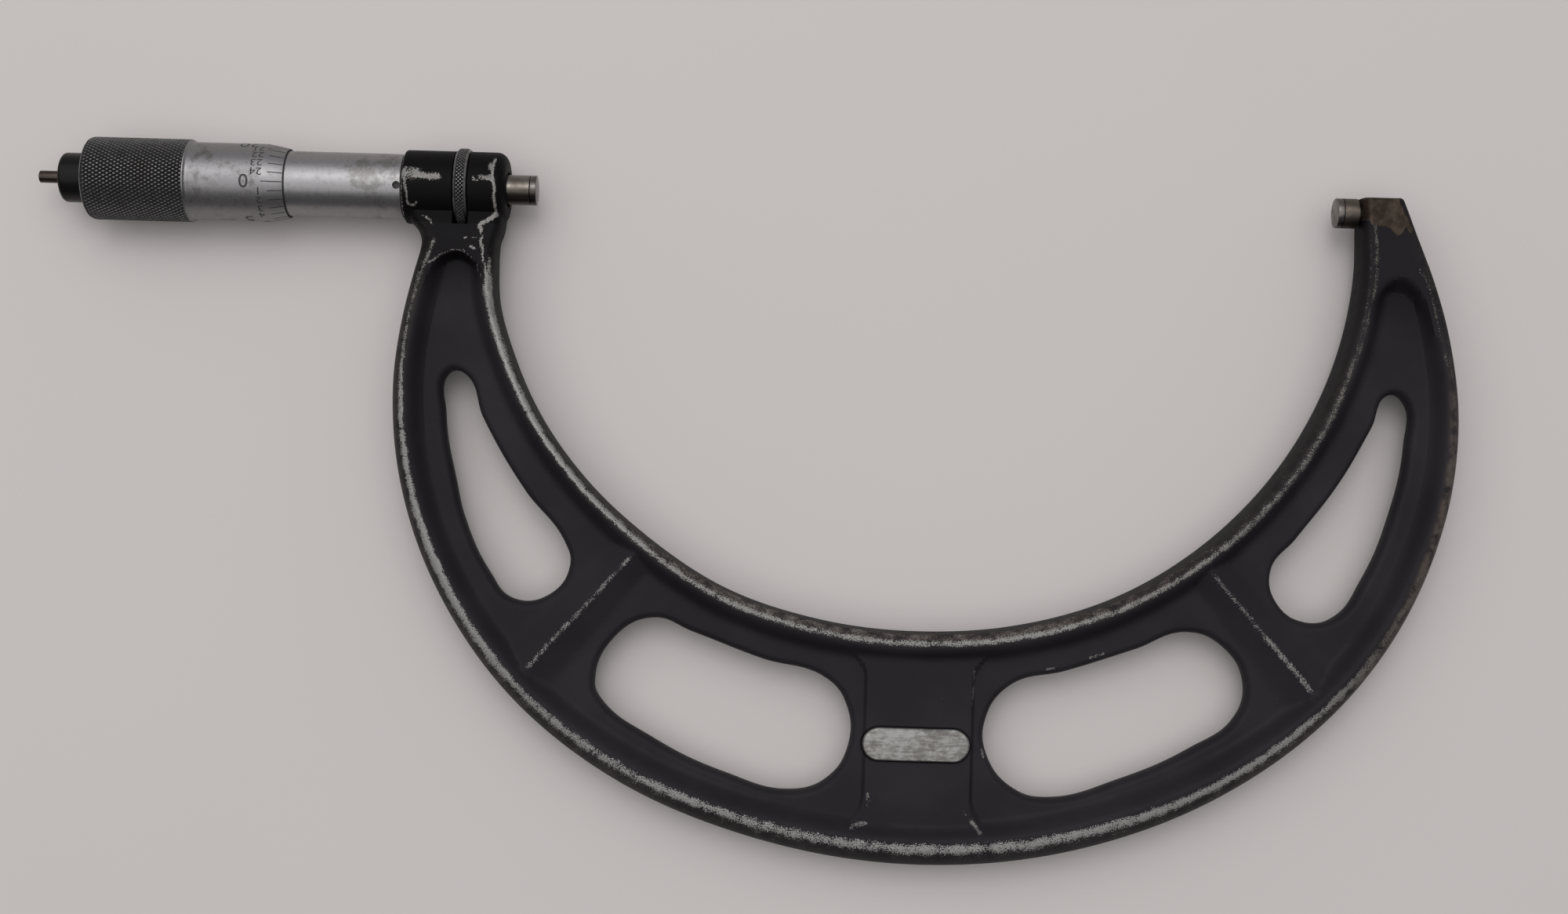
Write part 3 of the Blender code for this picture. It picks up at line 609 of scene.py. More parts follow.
def inside_loop(x, y, loop):
    """Which places lie inside a closed loop."""
    inside = np.zeros(np.shape(x), bool)
    for (x0, y0), (x1, y1) in zip(loop, np.roll(loop, -1, axis=0)):
        crosses = (y0 > y) != (y1 > y)
        if np.any(crosses):
            where = (x1 - x0) * (y - y0) / (y1 - y0 + 1e-12) + x0
            inside ^= crosses & (x < where)
    return inside


def pad_distance(x, y):
    """Distance outside the oval pad's outline, negative inside it."""
    radius = pad_size[1] / 2
    reach = pad_size[0] / 2 - radius
    along = np.maximum(np.abs(x - pad_centre[0]) - reach, 0.0)
    return np.hypot(along, y - pad_centre[1]) - radius


def pad_loop(distance, spacing=0.6):
    radius = pad_size[1] / 2 + distance
    reach = pad_size[0] / 2 - pad_size[1] / 2
    points = []
    for side, start in ((1, -90), (-1, 90)):
        for k in range(19):
            turn = math.radians(start + 10 * k)
            points.append((pad_centre[0] + side * reach + radius * math.cos(turn),
                           pad_centre[1] + radius * math.sin(turn)))
    return even_loop(np.array(points), spacing)


def stitched(rim, rings, drop_inside=None, extra=()):
    """Triangles between a rim of grid points and rings of finer points."""
    points, edges = [], []
    for ring in [rim] + list(rings):
        start = len(points)
        points.extend(Vector(p) for p in ring)
        edges.extend((start + k, start + (k + 1) % len(ring)) for k in range(len(ring)))
    points.extend(Vector(p) for p in extra)
    made, _, triangles, _, _, _ = delaunay_2d_cdt(points, edges, [], 1, 1e-5)
    xy = np.array([tuple(p) for p in made])
    middles = np.array([xy[list(t)].mean(axis=0) for t in triangles])
    keep = np.ones(len(triangles), bool)
    if drop_inside is not None:
        keep &= ~inside_loop(middles[:, 0], middles[:, 1], drop_inside)
    keep &= inside_loop(middles[:, 0], middles[:, 1], np.asarray(rim))
    return xy, [tuple(t) for t, good in zip(triangles, keep) if good]


def rim_of(cells, gone, grid):
    """The loop of grid points round a patch of removed cells, in order."""
    follow = {}
    for i, j in gone:
        ring = [(i, j), (i + 1, j), (i + 1, j + 1), (i, j + 1)]
        beside = [(i, j - 1), (i + 1, j), (i, j + 1), (i - 1, j)]
        for a, b, other in zip(ring, ring[1:] + ring[:1], beside):
            if other not in gone:
                follow[a] = b
    start = next(iter(follow))
    order = [start]
    while follow[order[-1]] != start:
        order.append(follow[order[-1]])
    if len(order) != len(follow):
        raise RuntimeError("a patch of the bow has more than one rim")
    return [tuple(grid[i, j]) for i, j in order]


def line_places(step):
    """Places of the bow's crosswise lines, closer at the neck, struts and panel's sides."""
    spots = list(np.arange(177.0, 188.0, 0.17)) + list(np.arange(188.0, 192.0, 0.3))
    spots += list(np.arange(192.0, 366.6, step))
    spots += [366.0, 366.3, 366.45, 366.6]
    features = []
    for strut in strut_angles:
        features += [strut + sign * d for d in (0.1, 0.2, 0.32, 0.5, 0.7, 2.4, 2.7, 3.0, 3.3)
                     for sign in (-1, 1)] + [strut]
    for side, out in ((263.9, -1), (276.65, 1)):
        features += [side + out * d for d in np.arange(-0.5, 2.3, 0.14)]
        features += [side + d for d in (-0.05, 0.05)]
    spots = [s for s in spots if all(abs(s - f) > 0.07 for f in features)
             and not any(abs(s - f) < 0.5 * step for f in features if f not in strut_angles)]
    return sorted(set(round(float(s), 4) for s in spots + features))


def line_angles(place_on):
    for low, high in zip(bow_lines, bow_lines[1:]):
        if place_on <= high[0] + 1e-9:
            break
    share = (place_on - low[0]) / (high[0] - low[0])
    return [low[i] + share * (high[i] - low[i]) for i in (1, 2)]


def bow_surface(bow, sizes):
    """The bow's closed surface: upper and lower face, window walls and end faces."""
    crest_steps = (0.0, 0.012, 0.045, 0.1, 0.18, 0.28, 0.4, 0.53, 0.66, 0.78, 0.89, 1.0)
    slope_steps = (0.12, 0.26, 0.42, 0.58, 0.74, 0.9, 1.08)
    places = line_places(sizes.line_step)
    middle_count = 30
    grid = []
    for s in places:
        at_inner, at_outer = line_angles(s)
        inner = np.array(bow.point(at_inner, bow.edges_at(at_inner)[0]))
        outer = np.array(bow.point(at_outer, bow.edges_at(at_outer)[1]))
        width = np.linalg.norm(outer - inner)
        inner_width, outer_width, squeeze = bow.crests_at(s)
        near = [k * inner_width * squeeze for k in crest_steps]
        near += [(inner_width + k * flange_slope) * squeeze for k in slope_steps]
        far = [k * outer_width * squeeze for k in crest_steps]
        far += [(outer_width + k * flange_slope) * squeeze for k in slope_steps]
        limit = (width - 0.4) / (near[-1] + far[-1])
        if limit < 1.0:
            near = [d * limit for d in near]
            far = [d * limit for d in far]
        between = list(np.linspace(near[-1], width - far[-1], middle_count + 2)[1:-1])
        steps = near + between + [width - d for d in reversed(far)]
        grid.append([inner + (outer - inner) * (d / width) for d in steps])
    grid = np.array(grid)
    lines, across = grid.shape[:2]
    x, y = grid[..., 0], grid[..., 1]

    outlines = {name: bow.window_outline(corners) for name, corners in windows.items()}
    cells = {(i, j) for i in range(lines - 1) for j in range(across - 1)}
    rim_width = 1.5

    def cells_near(loop, reach):
        wide = offset_loop(loop, reach)
        low, high = wide.min(axis=0) - 0.1, wide.max(axis=0) + 0.1
        close = (x > low[0]) & (x < high[0]) & (y > low[1]) & (y < high[1])
        inside = np.zeros(x.shape, bool)
        inside[close] = inside_loop(x[close], y[close], wide)
        return {(i, j) for i, j in cells
                if inside[i, j] or inside[i + 1, j] or inside[i, j + 1] or inside[i + 1, j + 1]}

    shape = Shape()
    heights = bow.height(x, y)
    round_end = 366.6 - np.array(places)
    end_gap = np.radians(np.maximum(round_end, 0.0)) * 96.0
    soft = 0.7
    inward = soft - np.minimum(end_gap, soft)
    end_drop = np.where(end_gap < soft, soft - np.sqrt(soft ** 2 - inward ** 2), 0)
    heights = np.where(heights > end_drop[:, None], heights - end_drop[:, None], 0.0)

    window_cells = {name: cells_near(loop, rim_width + 0.06) for name, loop in outlines.items()}
    holes = set().union(*window_cells.values())
    pad_cells = cells_near(pad_loop(0.0), 0.5) - holes
    flat = np.stack([x, y, heights], axis=-1).reshape(-1, 3)
    lower_flat = flat * (1, 1, -1)

    def quads(gone):
        starts = [i * across + j for i, j in cells if (i, j) not in gone]
        return [(k, k + 1, k + across + 1, k + across) for k in starts]

    shape.add(flat, quads(holes | pad_cells))
    shape.add(lower_flat, quads(holes), turn_over=True)

    ring_steps = (0.0, 0.02, 0.08, 0.18, 0.32, 0.5, 0.72, 0.98, 1.24, 1.5)
    rounding, drop = 1.5, 2.3
    for name, loop in outlines.items():
        rim = rim_of(cells, window_cells[name], grid)
        rings = [offset_loop(loop, d) for d in ring_steps]
        xy, triangles = stitched(rim, rings, drop_inside=loop)
        z = bow.height(xy[:, 0], xy[:, 1])
        gaps = nearest_distance(xy, loop)
        gap = np.clip(gaps - 0.004, 0.0, rounding)
        z = z - drop * (1 - np.sqrt(1 - (1 - gap / rounding) ** 2))
        top = np.column_stack([xy, z])
        upward = signed_area(xy, triangles[0]) > 0
        shape.add(top, triangles, turn_over=not upward)
        shape.add(top * (1, 1, -1), triangles, turn_over=upward)
        wall_z = bow.height(loop[:, 0], loop[:, 1]) - drop
        levels = [wall_z * k for k in (1.0, 0.5, 0.0, -0.5, -1.0)]
        wall = [np.column_stack([loop, level]) for level in levels]
        count = len(loop)
        faces = []
        for k in range(len(levels) - 1):
            for m in range(count):
                n = (m + 1) % count
                faces.append((k * count + n, (k + 1) * count + n, (k + 1) * count + m,
                              k * count + m))
        shape.add(np.vstack(wall), faces)

    rim = rim_of(cells, pad_cells, grid)
    rings = [pad_loop(d) for d in (0.4, 0.3, 0.2, 0.1, 0.0, -0.1, -0.2, -0.35, -0.6, -1.2, -2.0)]
    kept = [(side + 0.16 * k, pad_centre[1] + 0.25 * m)
            for side in panel_sides for k in range(-4, 5) for m in range(-16, 17)]
    kept = [p for p in kept if 0.03 < pad_distance(*p) < 0.38]
    xy, triangles = stitched(rim, rings, extra=kept)
    z = bow.height(xy[:, 0], xy[:, 1])
    out = pad_distance(xy[:, 0], xy[:, 1])
    lift = 1 - smooth_rise(out, -0.35, 0.7)
    z = z + (sizes.pad_half - z) * lift
    upward = signed_area(xy, triangles[0]) > 0
    shape.add(np.column_stack([xy, z]), triangles, turn_over=not upward)

    for i, flip in ((0, False), (lines - 1, True)):
        row = flat[i * across:(i + 1) * across]
        under = lower_flat[i * across:(i + 1) * across]
        faces = [(j, j + 1, across + j + 1, across + j) for j in range(across - 1)]
        shape.add(np.vstack([row, under]), faces, turn_over=not flip)
    return shape.welded(0.0008)


def signed_area(xy, triangle):
    a, b, c = (xy[i] for i in triangle)
    return (b[0] - a[0]) * (c[1] - a[1]) - (b[1] - a[1]) * (c[0] - a[0])


def nearest_distance(xy, loop):
    """Distance of each place to a closed loop of points."""
    best = np.full(len(xy), 1e9)
    following = np.roll(loop, -1, axis=0)
    for a, b in zip(loop, following):
        along = b - a
        t = np.clip(((xy - a) @ along) / (along @ along), 0.0, 1.0)
        best = np.minimum(best, np.hypot(*(xy - a - t[:, None] * along).T))
    return best


# Wear along the crests. For each angle: where the worn band of the inner crest begins and ends
# in mm from the edge, how bare it is, how bare the strip before it is, how light and how brown
# it is, and then the same six for the outer crest. 0.5 is half bare, 1 is all bare.
crest_wear = np.array([
    (177, 0.5, 1.2, -0.4, -0.4, 0.3, 0.0, 1.2, 1.7, 0.1, -0.4, 0.5, 0.0),
    (184, 0.5, 1.3, 0.2, -0.4, 0.6, 0.0, 1.2, 1.7, 0.2, -0.4, 0.5, 0.1),
    (187, 0.4, 1.8, 0.9, -0.3, 0.75, 0.1, 1.7, 2.4, 0.6, -0.4, 0.6, 0.2),
    (197, 0.5, 1.9, 0.95, -0.2, 0.78, 0.2, 2.1, 3.2, 0.75, -0.3, 0.7, 0.2),
    (212, 0.5, 1.8, 0.9, -0.1, 0.75, 0.2, 2.1, 3.8, 0.95, -0.2, 0.72, 0.2),
    (223, 0.6, 1.9, 0.8, 0.1, 0.7, 0.3, 2.2, 3.9, 0.9, 0.0, 0.72, 0.2),
    (232, 1.0, 2.2, 0.68, 0.2, 0.6, 0.4, 2.4, 4.2, 0.72, 0.0, 0.72, 0.2),
    (245, 1.1, 2.5, 0.66, 0.2, 0.6, 0.45, 2.7, 4.8, 0.7, -0.1, 0.88, 0.15),
    (268, 1.1, 2.6, 0.66, 0.2, 0.6, 0.45, 3.0, 5.5, 0.72, -0.2, 0.95, 0.1),
    (288, 1.1, 2.5, 0.66, 0.2, 0.6, 0.45, 3.0, 5.2, 0.74, -0.15, 0.95, 0.1),
    (296, 1.0, 2.4, 0.68, 0.15, 0.5, 0.4, 2.9, 4.5, 0.88, -0.1, 0.82, 0.15),
    (310, 1.0, 2.4, 0.64, 0.0, 0.42, 0.2, 2.6, 4.1, 0.84, -0.1, 0.75, 0.3),
    (318, 1.1, 2.7, 0.6, -0.1, 0.4, 0.1, 1.8, 3.5, 0.55, 0.15, 0.3, 0.6),
    (330, 1.2, 2.9, 0.58, -0.1, 0.36, 0.08, 1.2, 3.2, 0.4, 0.1, 0.1, 0.8),
    (340, 0.9, 2.4, 0.52, -0.1, 0.25, 0.1, 1.3, 2.9, 0.38, 0.0, 0.15, 0.6),
    (347, 0.8, 1.6, 0.42, -0.3, 0.15, 0.05, 1.8, 2.4, 0.32, -0.3, 0.15, 0.1),
    (367, 0.9, 1.4, 0.2, -0.4, 0.1, 0.0, 1.8, 2.3, 0.1, -0.4, 0.1, 0.0),
])

# Lines along which enamel is rubbed off: their points, width and how bare they are
worn_lines = [
    ([(-178.5, 5.6), (-178.8, 2.2), (-178.2, -0.6), (-178.4, -2.3), (-178.0, -6.0)], 0.5, 1.0),
    ([(-178.0, -6.0), (-179.0, -6.8), (-181.1, -7.9), (-181.5, -8.5), (-181.0, -9.6)],
     0.75, 0.95),
    ([(-181.0, -9.6), (-181.0, -11.4), (-180.3, -15.8), (-179.3, -20.2), (-179.1, -21.9)],
     0.5, 0.9),
    ([(-179.8, -23.1), (-179.0, -24.9), (-178.2, -27.0)], 0.8, 0.9),
    ([(-191.6, -16.4), (-189.3, -14.7), (-186.8, -13.6), (-184.6, -13.8), (-181.9, -16.1),
      (-180.7, -19.8), (-179.7, -24.0)], 0.5, 0.55),
    ([(-190.8, -11.4), (-192.5, -16.1), (-194.1, -20.6), (-195.4, -26.5)], 0.9, 0.5),
    ([(-183.3, -12.8), (-182.1, -13.4)], 0.5, 0.9), ([(-184.5, -11.1), (-183.9, -11.0)], 0.4, 0.8),
    ([(-182.6, -11.0), (-182.0, -11.1)], 0.4, 0.8),
    ([(-193.3, -6.6), (-191.7, -7.6), (-191.3, -8.5)], 0.4, 0.8),
    ([(-197.2, 3.3), (-196.8, -1.1), (-196.5, -4.3), (-195.4, -4.6), (-194.7, -4.0)], 0.45, 0.85),
    ([(-196.9, 1.9), (-195.0, 1.9)], 2.4, 0.8), ([(-194.6, 1.6), (-190.2, 1.4)], 1.3, 0.85),
    ([(-182.8, 1.5), (-182.7, 0.9), (-181.7, 0.9)], 0.5, 0.85),
    ([(-181.5, 1.5), (-178.7, 1.3)], 1.0, 0.8),
    ([(-196.8, 3.2), (-195.6, 3.0)], 0.7, 0.7), ([(-179.4, 4.4), (-179.2, 3.4)], 0.8, 0.75),
    ([(15.6, -10.2), (18.8, -16.2), (20.7, -24.4), (22.8, -32.5)], 0.7, 0.3),
    ([(-74.4, -99.3), (-74.7, -106.7)], 0.6, 0.5), ([(-74.4, -131.2), (-72.5, -133.3)], 0.8, 0.65),
    ([(-75.8, -130.0), (-75.6, -129.4)], 0.5, 0.7), ([(-96.1, -125.8), (-96.0, -128.8)], 0.7, 0.85),
    ([(-99.7, -133.0), (-98.2, -132.4), (-96.6, -132.2)], 0.9, 0.6),
    ([(-72.3, -116.1), (-72.0, -117.7)], 0.5, 0.65),
    ([(-47.1, -95.0), (-49.9, -96.1)], 0.5, 0.7), ([(-57.5, -98.3), (-59.1, -98.8)], 0.5, 0.7),
]
nose_line = ([(7.0, -2.9), (7.4, -5.6), (7.6, -13.0), (7.0, -17.9), (5.2, -26.2), (3.7, -31.7)],
             0.9, 0.4)

# Outline of the place at the anvil where the enamel is gone down to dark metal
bare_nose = np.array([
    (0.0, 9.0), (12.1, 9.0), (12.3, 1.6), (13.7, -0.8), (15.1, -3.7), (14.5, -4.6), (13.6, -3.5),
    (12.7, -4.8), (11.8, -5.2), (11.1, -4.7), (10.4, -3.5), (9.0, -3.1), (7.9, -3.1), (7.3, -2.7),
    (6.4, -2.9), (5.7, -2.0), (4.5, -1.6), (4.2, -0.3), (2.9, -0.3), (-0.5, -0.3), (-2.0, 9.0),
])


def line_wear(x, y, line):
    """How bare the enamel is round a line of points: the line's own strength on it."""
    points, width, strength = line
    gap = np.full(np.shape(x), 1e9)
    for (x0, y0), (x1, y1) in zip(points, points[1:]):
        dx, dy = x1 - x0, y1 - y0
        t = np.clip(((x - x0) * dx + (y - y0) * dy) / (dx * dx + dy * dy + 1e-9), 0.0, 1.0)
        gap = np.minimum(gap, np.hypot(x - x0 - t * dx, y - y0 - t * dy))
    return np.clip(strength - np.maximum(gap / (width / 2) - 0.6, 0.0), -0.5, 1.0)


def band_wear(distance, band):
    """How bare a crest is at a distance from its edge, from one half of the wear table."""
    begin, end, bare, strip = band[:4]
    away = (2 * distance - begin - end) / (end - begin)
    near = np.clip((distance - 0.05) / 0.2, 0.0, 1.0)
    before = np.where(distance < begin, -0.4 + (strip + 0.4) * near, -0.5)
    return np.maximum(bare - 0.5 * away ** 2, before)


def bow_fields(bow, points):
    """How bare, light or brown the enamel is at each point, where the metal shows, where the enamel
    is painted lighter and where a shadow is painted round the pad.
    """
    p = np.asarray(points, float)
    x, y, z = p.T
    angle, from_inner, from_outer, inner_width, outer_width = bow.distances(x, y)
    table = [np.interp(angle, crest_wear[:, 0], crest_wear[:, k]) for k in range(1, 13)]
    inner_worn = band_wear(from_inner, table[:6])
    outer_worn = band_wear(from_outer, table[6:])
    worn = np.maximum(inner_worn, outer_worn)
    nearer_inner = np.clip(0.5 + (from_outer - from_inner) / 2.0, 0.0, 1.0)
    light = table[4] * nearer_inner + table[10] * (1 - nearer_inner)
    inner_brown = table[5] * (1 - smooth_rise(from_inner, 1.6, 1.2))
    outer_brown = table[11] * (1 - smooth_rise(from_outer, 2.6, 1.2))
    seen = smooth_rise(z, 1.5, 3.0)
    brown = np.maximum(inner_brown, outer_brown) * seen
    worn = (worn + 0.5) * seen - 0.5
    for strut, strength, width in zip(strut_angles, (0.4, 0.46), (0.8, 0.9)):
        away = np.abs(angle - strut) * math.radians(1.0) * 1.2 * THROAT_RADIUS
        middle = np.minimum(from_inner - inner_width - 1.5, from_outer - outer_width - 1.5)
        share = np.clip(middle / 2.0, 0.0, 1.0) * np.clip(1.3 - away / width, 0.0, 1.0)
        worn = np.maximum(worn, -0.5 + (strength + 0.5) * share)
    in_hub = (x > hub_left - 1) & (x < hub_right + 1) & (y > -7.9)
    worn = np.where(in_hub, -0.5, worn)
    light = np.where(in_hub, 0.8, light)
    brown = np.where(in_hub, 0.0, brown)
    upper = z > 0
    for line in worn_lines:
        mark = line_wear(x, y, line)
        worn = np.where(upper, np.maximum(worn, mark), worn)
        light = np.where(upper & (mark > 0), 0.15 + 0.42 * line[2], light)
    mark = np.where(upper, line_wear(x, y, nose_line), -0.5)
    worn = np.maximum(worn, mark)
    light = np.where(mark > -0.3, 0.12, light)
    rim = np.abs(x - hub_left)
    worn = np.maximum(worn, np.where(in_hub, 0.7 - rim / 0.5, -0.5))
    gap = nearest_distance(np.column_stack([x, y]), bare_nose)
    gap = np.where(inside_loop(x, y, bare_nose), gap, -gap)
    bare = np.where(angle > 350, np.clip(0.5 + gap / 1.6, 0.0, 1.0), 0.0)
    on_pad = upper & (np.abs(z - bow.sizes.pad_half) < 0.6)
    pad = np.where(on_pad, 1 - smooth_rise(pad_distance(x, y), -0.12, 0.16), 0.0)
    # Painted shadow: a thin dark line round the foot of the pad on the upper face, where the pad
    # rises from the panel.
    gap = pad_distance(x, y)
    groove = np.where(upper, np.exp(-((gap - 0.12) / 0.16) ** 2), 0.0)
    worn = np.where(np.abs(gap) < 0.9, np.minimum(worn, -0.4), worn)
    # Painted light: the enamel away from the bow's edges gets a lighter copy, less of it at the
    # neck and nose and none on the hub, standing in for how the flat faces catch the light.
    recess = smooth_rise(np.minimum(from_inner, from_outer), 0.0, 1.0)
    recess = recess * (0.2 + 0.8 * smooth_rise(angle, 183.0, 7.0))
    recess = recess * (1 - 0.5 * smooth_rise(angle, 348.0, 6.0))
    recess = np.where(in_hub, 0.0, recess)
    return {"worn": worn, "light": light, "brown": brown, "bare": bare, "pad": pad,
            "groove": groove, "recess": recess}


# Finishes

def enamel_finish(sizes):
    """Black enamel, rubbed and chipped to steel along the crests, painted lighter away from its
    edges and painted dark in a shadow round the pad's foot.
    """
    f = Finish("black_enamel")
    worn, light, brown = f.field("worn"), f.field("light"), f.field("brown")
    speck = f.noise(4200.0, 3.0, 0.6)
    patch = f.noise(420.0, 4.0, 0.6)
    cloud = f.noise(55.0, 3.0, 0.5)
    gone = (worn + (speck - 0.5) * 3.0 + (patch - 0.5) * 1.6).step(0.46, 0.54)
    bared = (f.field("bare") + (patch - 0.5) * 0.9 + (speck - 0.5) * 0.3).step(0.48, 0.54)
    on_pad = f.field("pad").step(0.4, 0.6)
    steel = tuple(sizes.worn)
    dull = tuple(a * b for a, b in zip(steel, (0.17, 0.148, 0.122)))
    steel = f.mix(patch.step(0.3, 0.7) * 0.5, steel, tuple(0.6 * c for c in steel))
    steel = f.mix(light, dull, steel)
    dark_metal = f.mix(f.noise(300.0, 5.0, 0.7).step(0.35, 0.7), (0.026, 0.018, 0.013),
                       (0.072, 0.056, 0.043))
    mottle = f.noise(700.0, 5.0, 0.7)
    scratch = f.noise(900.0, 4.0, 0.7, stretch=(0.3, 1.6, 1.0))
    pad_steel = f.mix((mottle * 0.5 + scratch * 0.5 + (cloud - 0.5) * 0.8).step(0.42, 0.66),
                      (0.36, 0.352, 0.338), (0.17, 0.16, 0.148))
    enamel = tuple(sizes.enamel)
    # A lighter copy of the enamel with random cloudy tone, painted where the bow is lit.
    lit_enamel = f.mix(cloud.step(0.35, 0.7), tuple(c * 6.4 for c in enamel),
                 tuple(c * 8.6 for c in enamel))
    coat = f.mix(f.field("recess"), enamel, lit_enamel)
    coat = f.mix(brown * patch.step(0.3, 0.62) * 0.75, coat, tuple(sizes.rubbed))
    colour = f.mix(gone, coat, steel)
    colour = f.mix(bared, colour, dark_metal)
    colour = f.mix(on_pad, colour, pad_steel)
    # The pad's dark foot line is painted shadow.
    f.set("Base Color", f.mix(f.field("groove") * 0.92, colour, (0.002, 0.002, 0.002)))
    bright = gone.larger(bared)
    f.set("Metallic", (bright * 0.5).larger(on_pad * 0.85))
    f.set("Roughness", 0.52 + (patch - 0.5) * 0.2)
    f.set("Specular IOR Level", 0.07)
    grain = f.noise(1500.0, 3.0, 0.55)
    skin = f.bump(grain + patch * 1.5, 0.3, 0.00010)
    f.set("Normal", f.bump(1.0 - bright, 0.4, 0.00005, skin))
    return f.material


def chrome_finish(name, dial, dirt=0.5, tone=1.0, roughness=0.38, knurl=None):
    """Satin chrome with mottled stains; knurl gives valley and crest radius in metres, and darkens
    the valleys as painted shade.
    """
    f = Finish(name, metallic=1.0)
    mottle = f.noise(520.0, 6.0, 0.72)
    cloud = f.noise(110.0, 4.0, 0.6)
    base = tuple(c * tone for c in dial.chrome)
    stain = tuple(c * s for c, s in zip(base, (0.50, 0.46, 0.43)))
    colour = f.mix((mottle + (cloud - 0.5) * 1.3).step(0.52, 0.74) * dirt, base, stain)
    colour = f.mix(f.noise(1500.0, 4.0, 0.7).step(0.5, 0.7) * 0.3, colour, stain)
    rough = roughness + (mottle - 0.5) * 0.30
    if knurl:
        # Painted shade in the knurl: the valleys go near black by their depth, and the crests take
        # the same dark colour in patches of grime.
        crest = f.from_axis().step(knurl[0], knurl[1])
        grime = (mottle * 0.5 + f.noise(2400.0, 3.0, 0.6) * 0.5).step(0.38, 0.6)
        colour = f.mix(crest * (grime * 0.5 + 0.5), (0.008, 0.007, 0.006), colour)
        rough = rough + (1.0 - crest) * 0.25
        f.set("Metallic", crest * 0.9)
    f.set("Base Color", colour)
    f.set("Roughness", rough)
    turning = f.noise(700.0, 2.0, 0.5, stretch=(14.0, 1.0, 1.0))
    f.set("Normal", f.bump(turning + mottle * 1.2, 0.24, 0.00005))
    return f.material


def steel_finish(name, base, stain, roughness=0.26, stained=0.6, lines=12.0, side_shade=0.0):
    """Ground steel with fine turning lines and old oil stains, and painted shade that darkens its
    side at -Y.
    """
    f = Finish(name, metallic=1.0)
    mottle = f.noise(300.0, 6.0, 0.68)
    streak = f.noise(160.0, 4.0, 0.6, stretch=(0.35, 1.0, 1.0))
    share = (mottle * 0.5 + streak * 0.5).step(0.46, 0.62) * stained
    colour = f.mix(share, base, stain)
    if side_shade:
        # Painted shade: the side at -Y is darkened towards dark brown, standing in for the shade
        # and dim reflections on the lower side.
        shade_mask = (f.parts(f.place())[1] + (mottle - 0.5) * 0.0015).step(0.0008, -0.0016)
        colour = f.mix(shade_mask * side_shade, colour, (0.035, 0.027, 0.023))
    f.set("Base Color", colour)
    f.set("Roughness", roughness + share * 0.18)
    turning = f.noise(900.0, 2.0, 0.5, stretch=(lines, 1.0, 1.0))
    f.set("Normal", f.bump(turning, 0.10, 0.00004))
    return f.material


def black_finish(steels):
    """Smooth black oxide, rubbed a little in places."""
    f = Finish("black_oxide")
    cloud = f.noise(220.0, 5.0, 0.6)
    speck = f.noise(3200.0, 4.0, 0.7)
    rub = (cloud * 0.6 + speck * 0.4).step(0.56, 0.64)
    f.set("Base Color", f.mix(rub * 0.35, tuple(steels.black), (0.04, 0.034, 0.030)))
    f.set("Roughness", 0.22 + cloud * 0.18)
    f.set("Specular IOR Level", 0.15)
    f.set("Normal", f.bump(f.noise(1200.0, 3.0), 0.12, 0.00005))
    return f.material


def ink_finish(dial):
    """Dark paint, a little faded, in engraved lines and numbers; also used for the painted shade in
    the spanner hole and the painted shadow at the thimble's edge.
    """
    f = Finish("dial_ink_and_shade", roughness=0.6)
    fade = f.noise(1400.0, 3.0, 0.6).step(0.4, 0.8)
    f.set("Base Color", f.mix(fade * 0.6, tuple(dial.ink), (0.05, 0.046, 0.042)))
    return f.material


# Scales: lines and numbers wrapped on a turned surface

def wrapped(points, axis_x, radius_at, angle_at, height):
    """Flat (u, v, w) points laid on a turned surface: u along the axis, v round it."""
    result = []
    for u, v, w in points:
        x = axis_x + u
        radius = radius_at(x)
        turn = angle_at + v / radius
        raised = radius + w * height
        result.append((x, raised * math.cos(turn), raised * math.sin(turn)))
    return result


def strip(width, start, end, steps, round_axis=False):
    """A thin raised strip along u, for a graduation line, or else round the axis along v."""
    points, faces = [], []
    for k in range(steps + 1):
        run = start + (end - start) * k / steps
        for side, w in ((-width / 2, -1.0), (-width / 2, 1.0), (width / 2, 1.0), (width / 2, -1.0)):
            points.append((side, run, w) if round_axis else (run, side, w))
    for k in range(steps):
        for m in range(4):
            n = (m + 1) % 4
            faces.append((4 * k + m, 4 * k + n, 4 * k + 4 + n, 4 * k + 4 + m))
    last = 4 * steps
    faces += [(3, 2, 1, 0), (last, last + 1, last + 2, last + 3)]
    if round_axis:
        faces = [(a, d, c, b) for a, b, c, d in faces]
    return points, faces


def figure(text, height, bold=0.0):
    """A number as a thin solid in the (u, v) plane, centred, of a given height along u."""
    curve = bpy.data.curves.new("figure", "FONT")
    curve.body = text
    curve.size = 1.0
    curve.align_x = "CENTER"
    curve.resolution_u = 5
    curve.extrude = 0.5
    curve.offset = bold
    drawn = linked("figure", curve)
    form = bmesh.new()
    final_mesh(drawn, form.from_mesh)
    bmesh.ops.remove_doubles(form, verts=form.verts, dist=0.0001)
    bmesh.ops.triangulate(form, faces=form.faces)
    for _ in range(3):
        long_edges = [e for e in form.edges if (e.verts[0].co - e.verts[1].co).xy.length > 0.16]
        bmesh.ops.subdivide_edges(form, edges=long_edges, cuts=1)
        bmesh.ops.triangulate(form, faces=form.faces)
    form.verts.index_update()
    points = np.array([v.co[:] for v in form.verts])
    faces = [tuple(v.index for v in face.verts) for face in form.faces]
    form.free()
    bpy.data.objects.remove(drawn, do_unlink=True)
    bpy.data.curves.remove(curve)
    low, high = points.min(axis=0), points.max(axis=0)
    scale = height / (high[1] - low[1])
    points[:, 0] = (points[:, 0] - (low[0] + high[0]) / 2) * scale
    points[:, 1] = (points[:, 1] - (low[1] + high[1]) / 2) * scale
    points[:, 2] = np.sign(points[:, 2])
    return points, faces


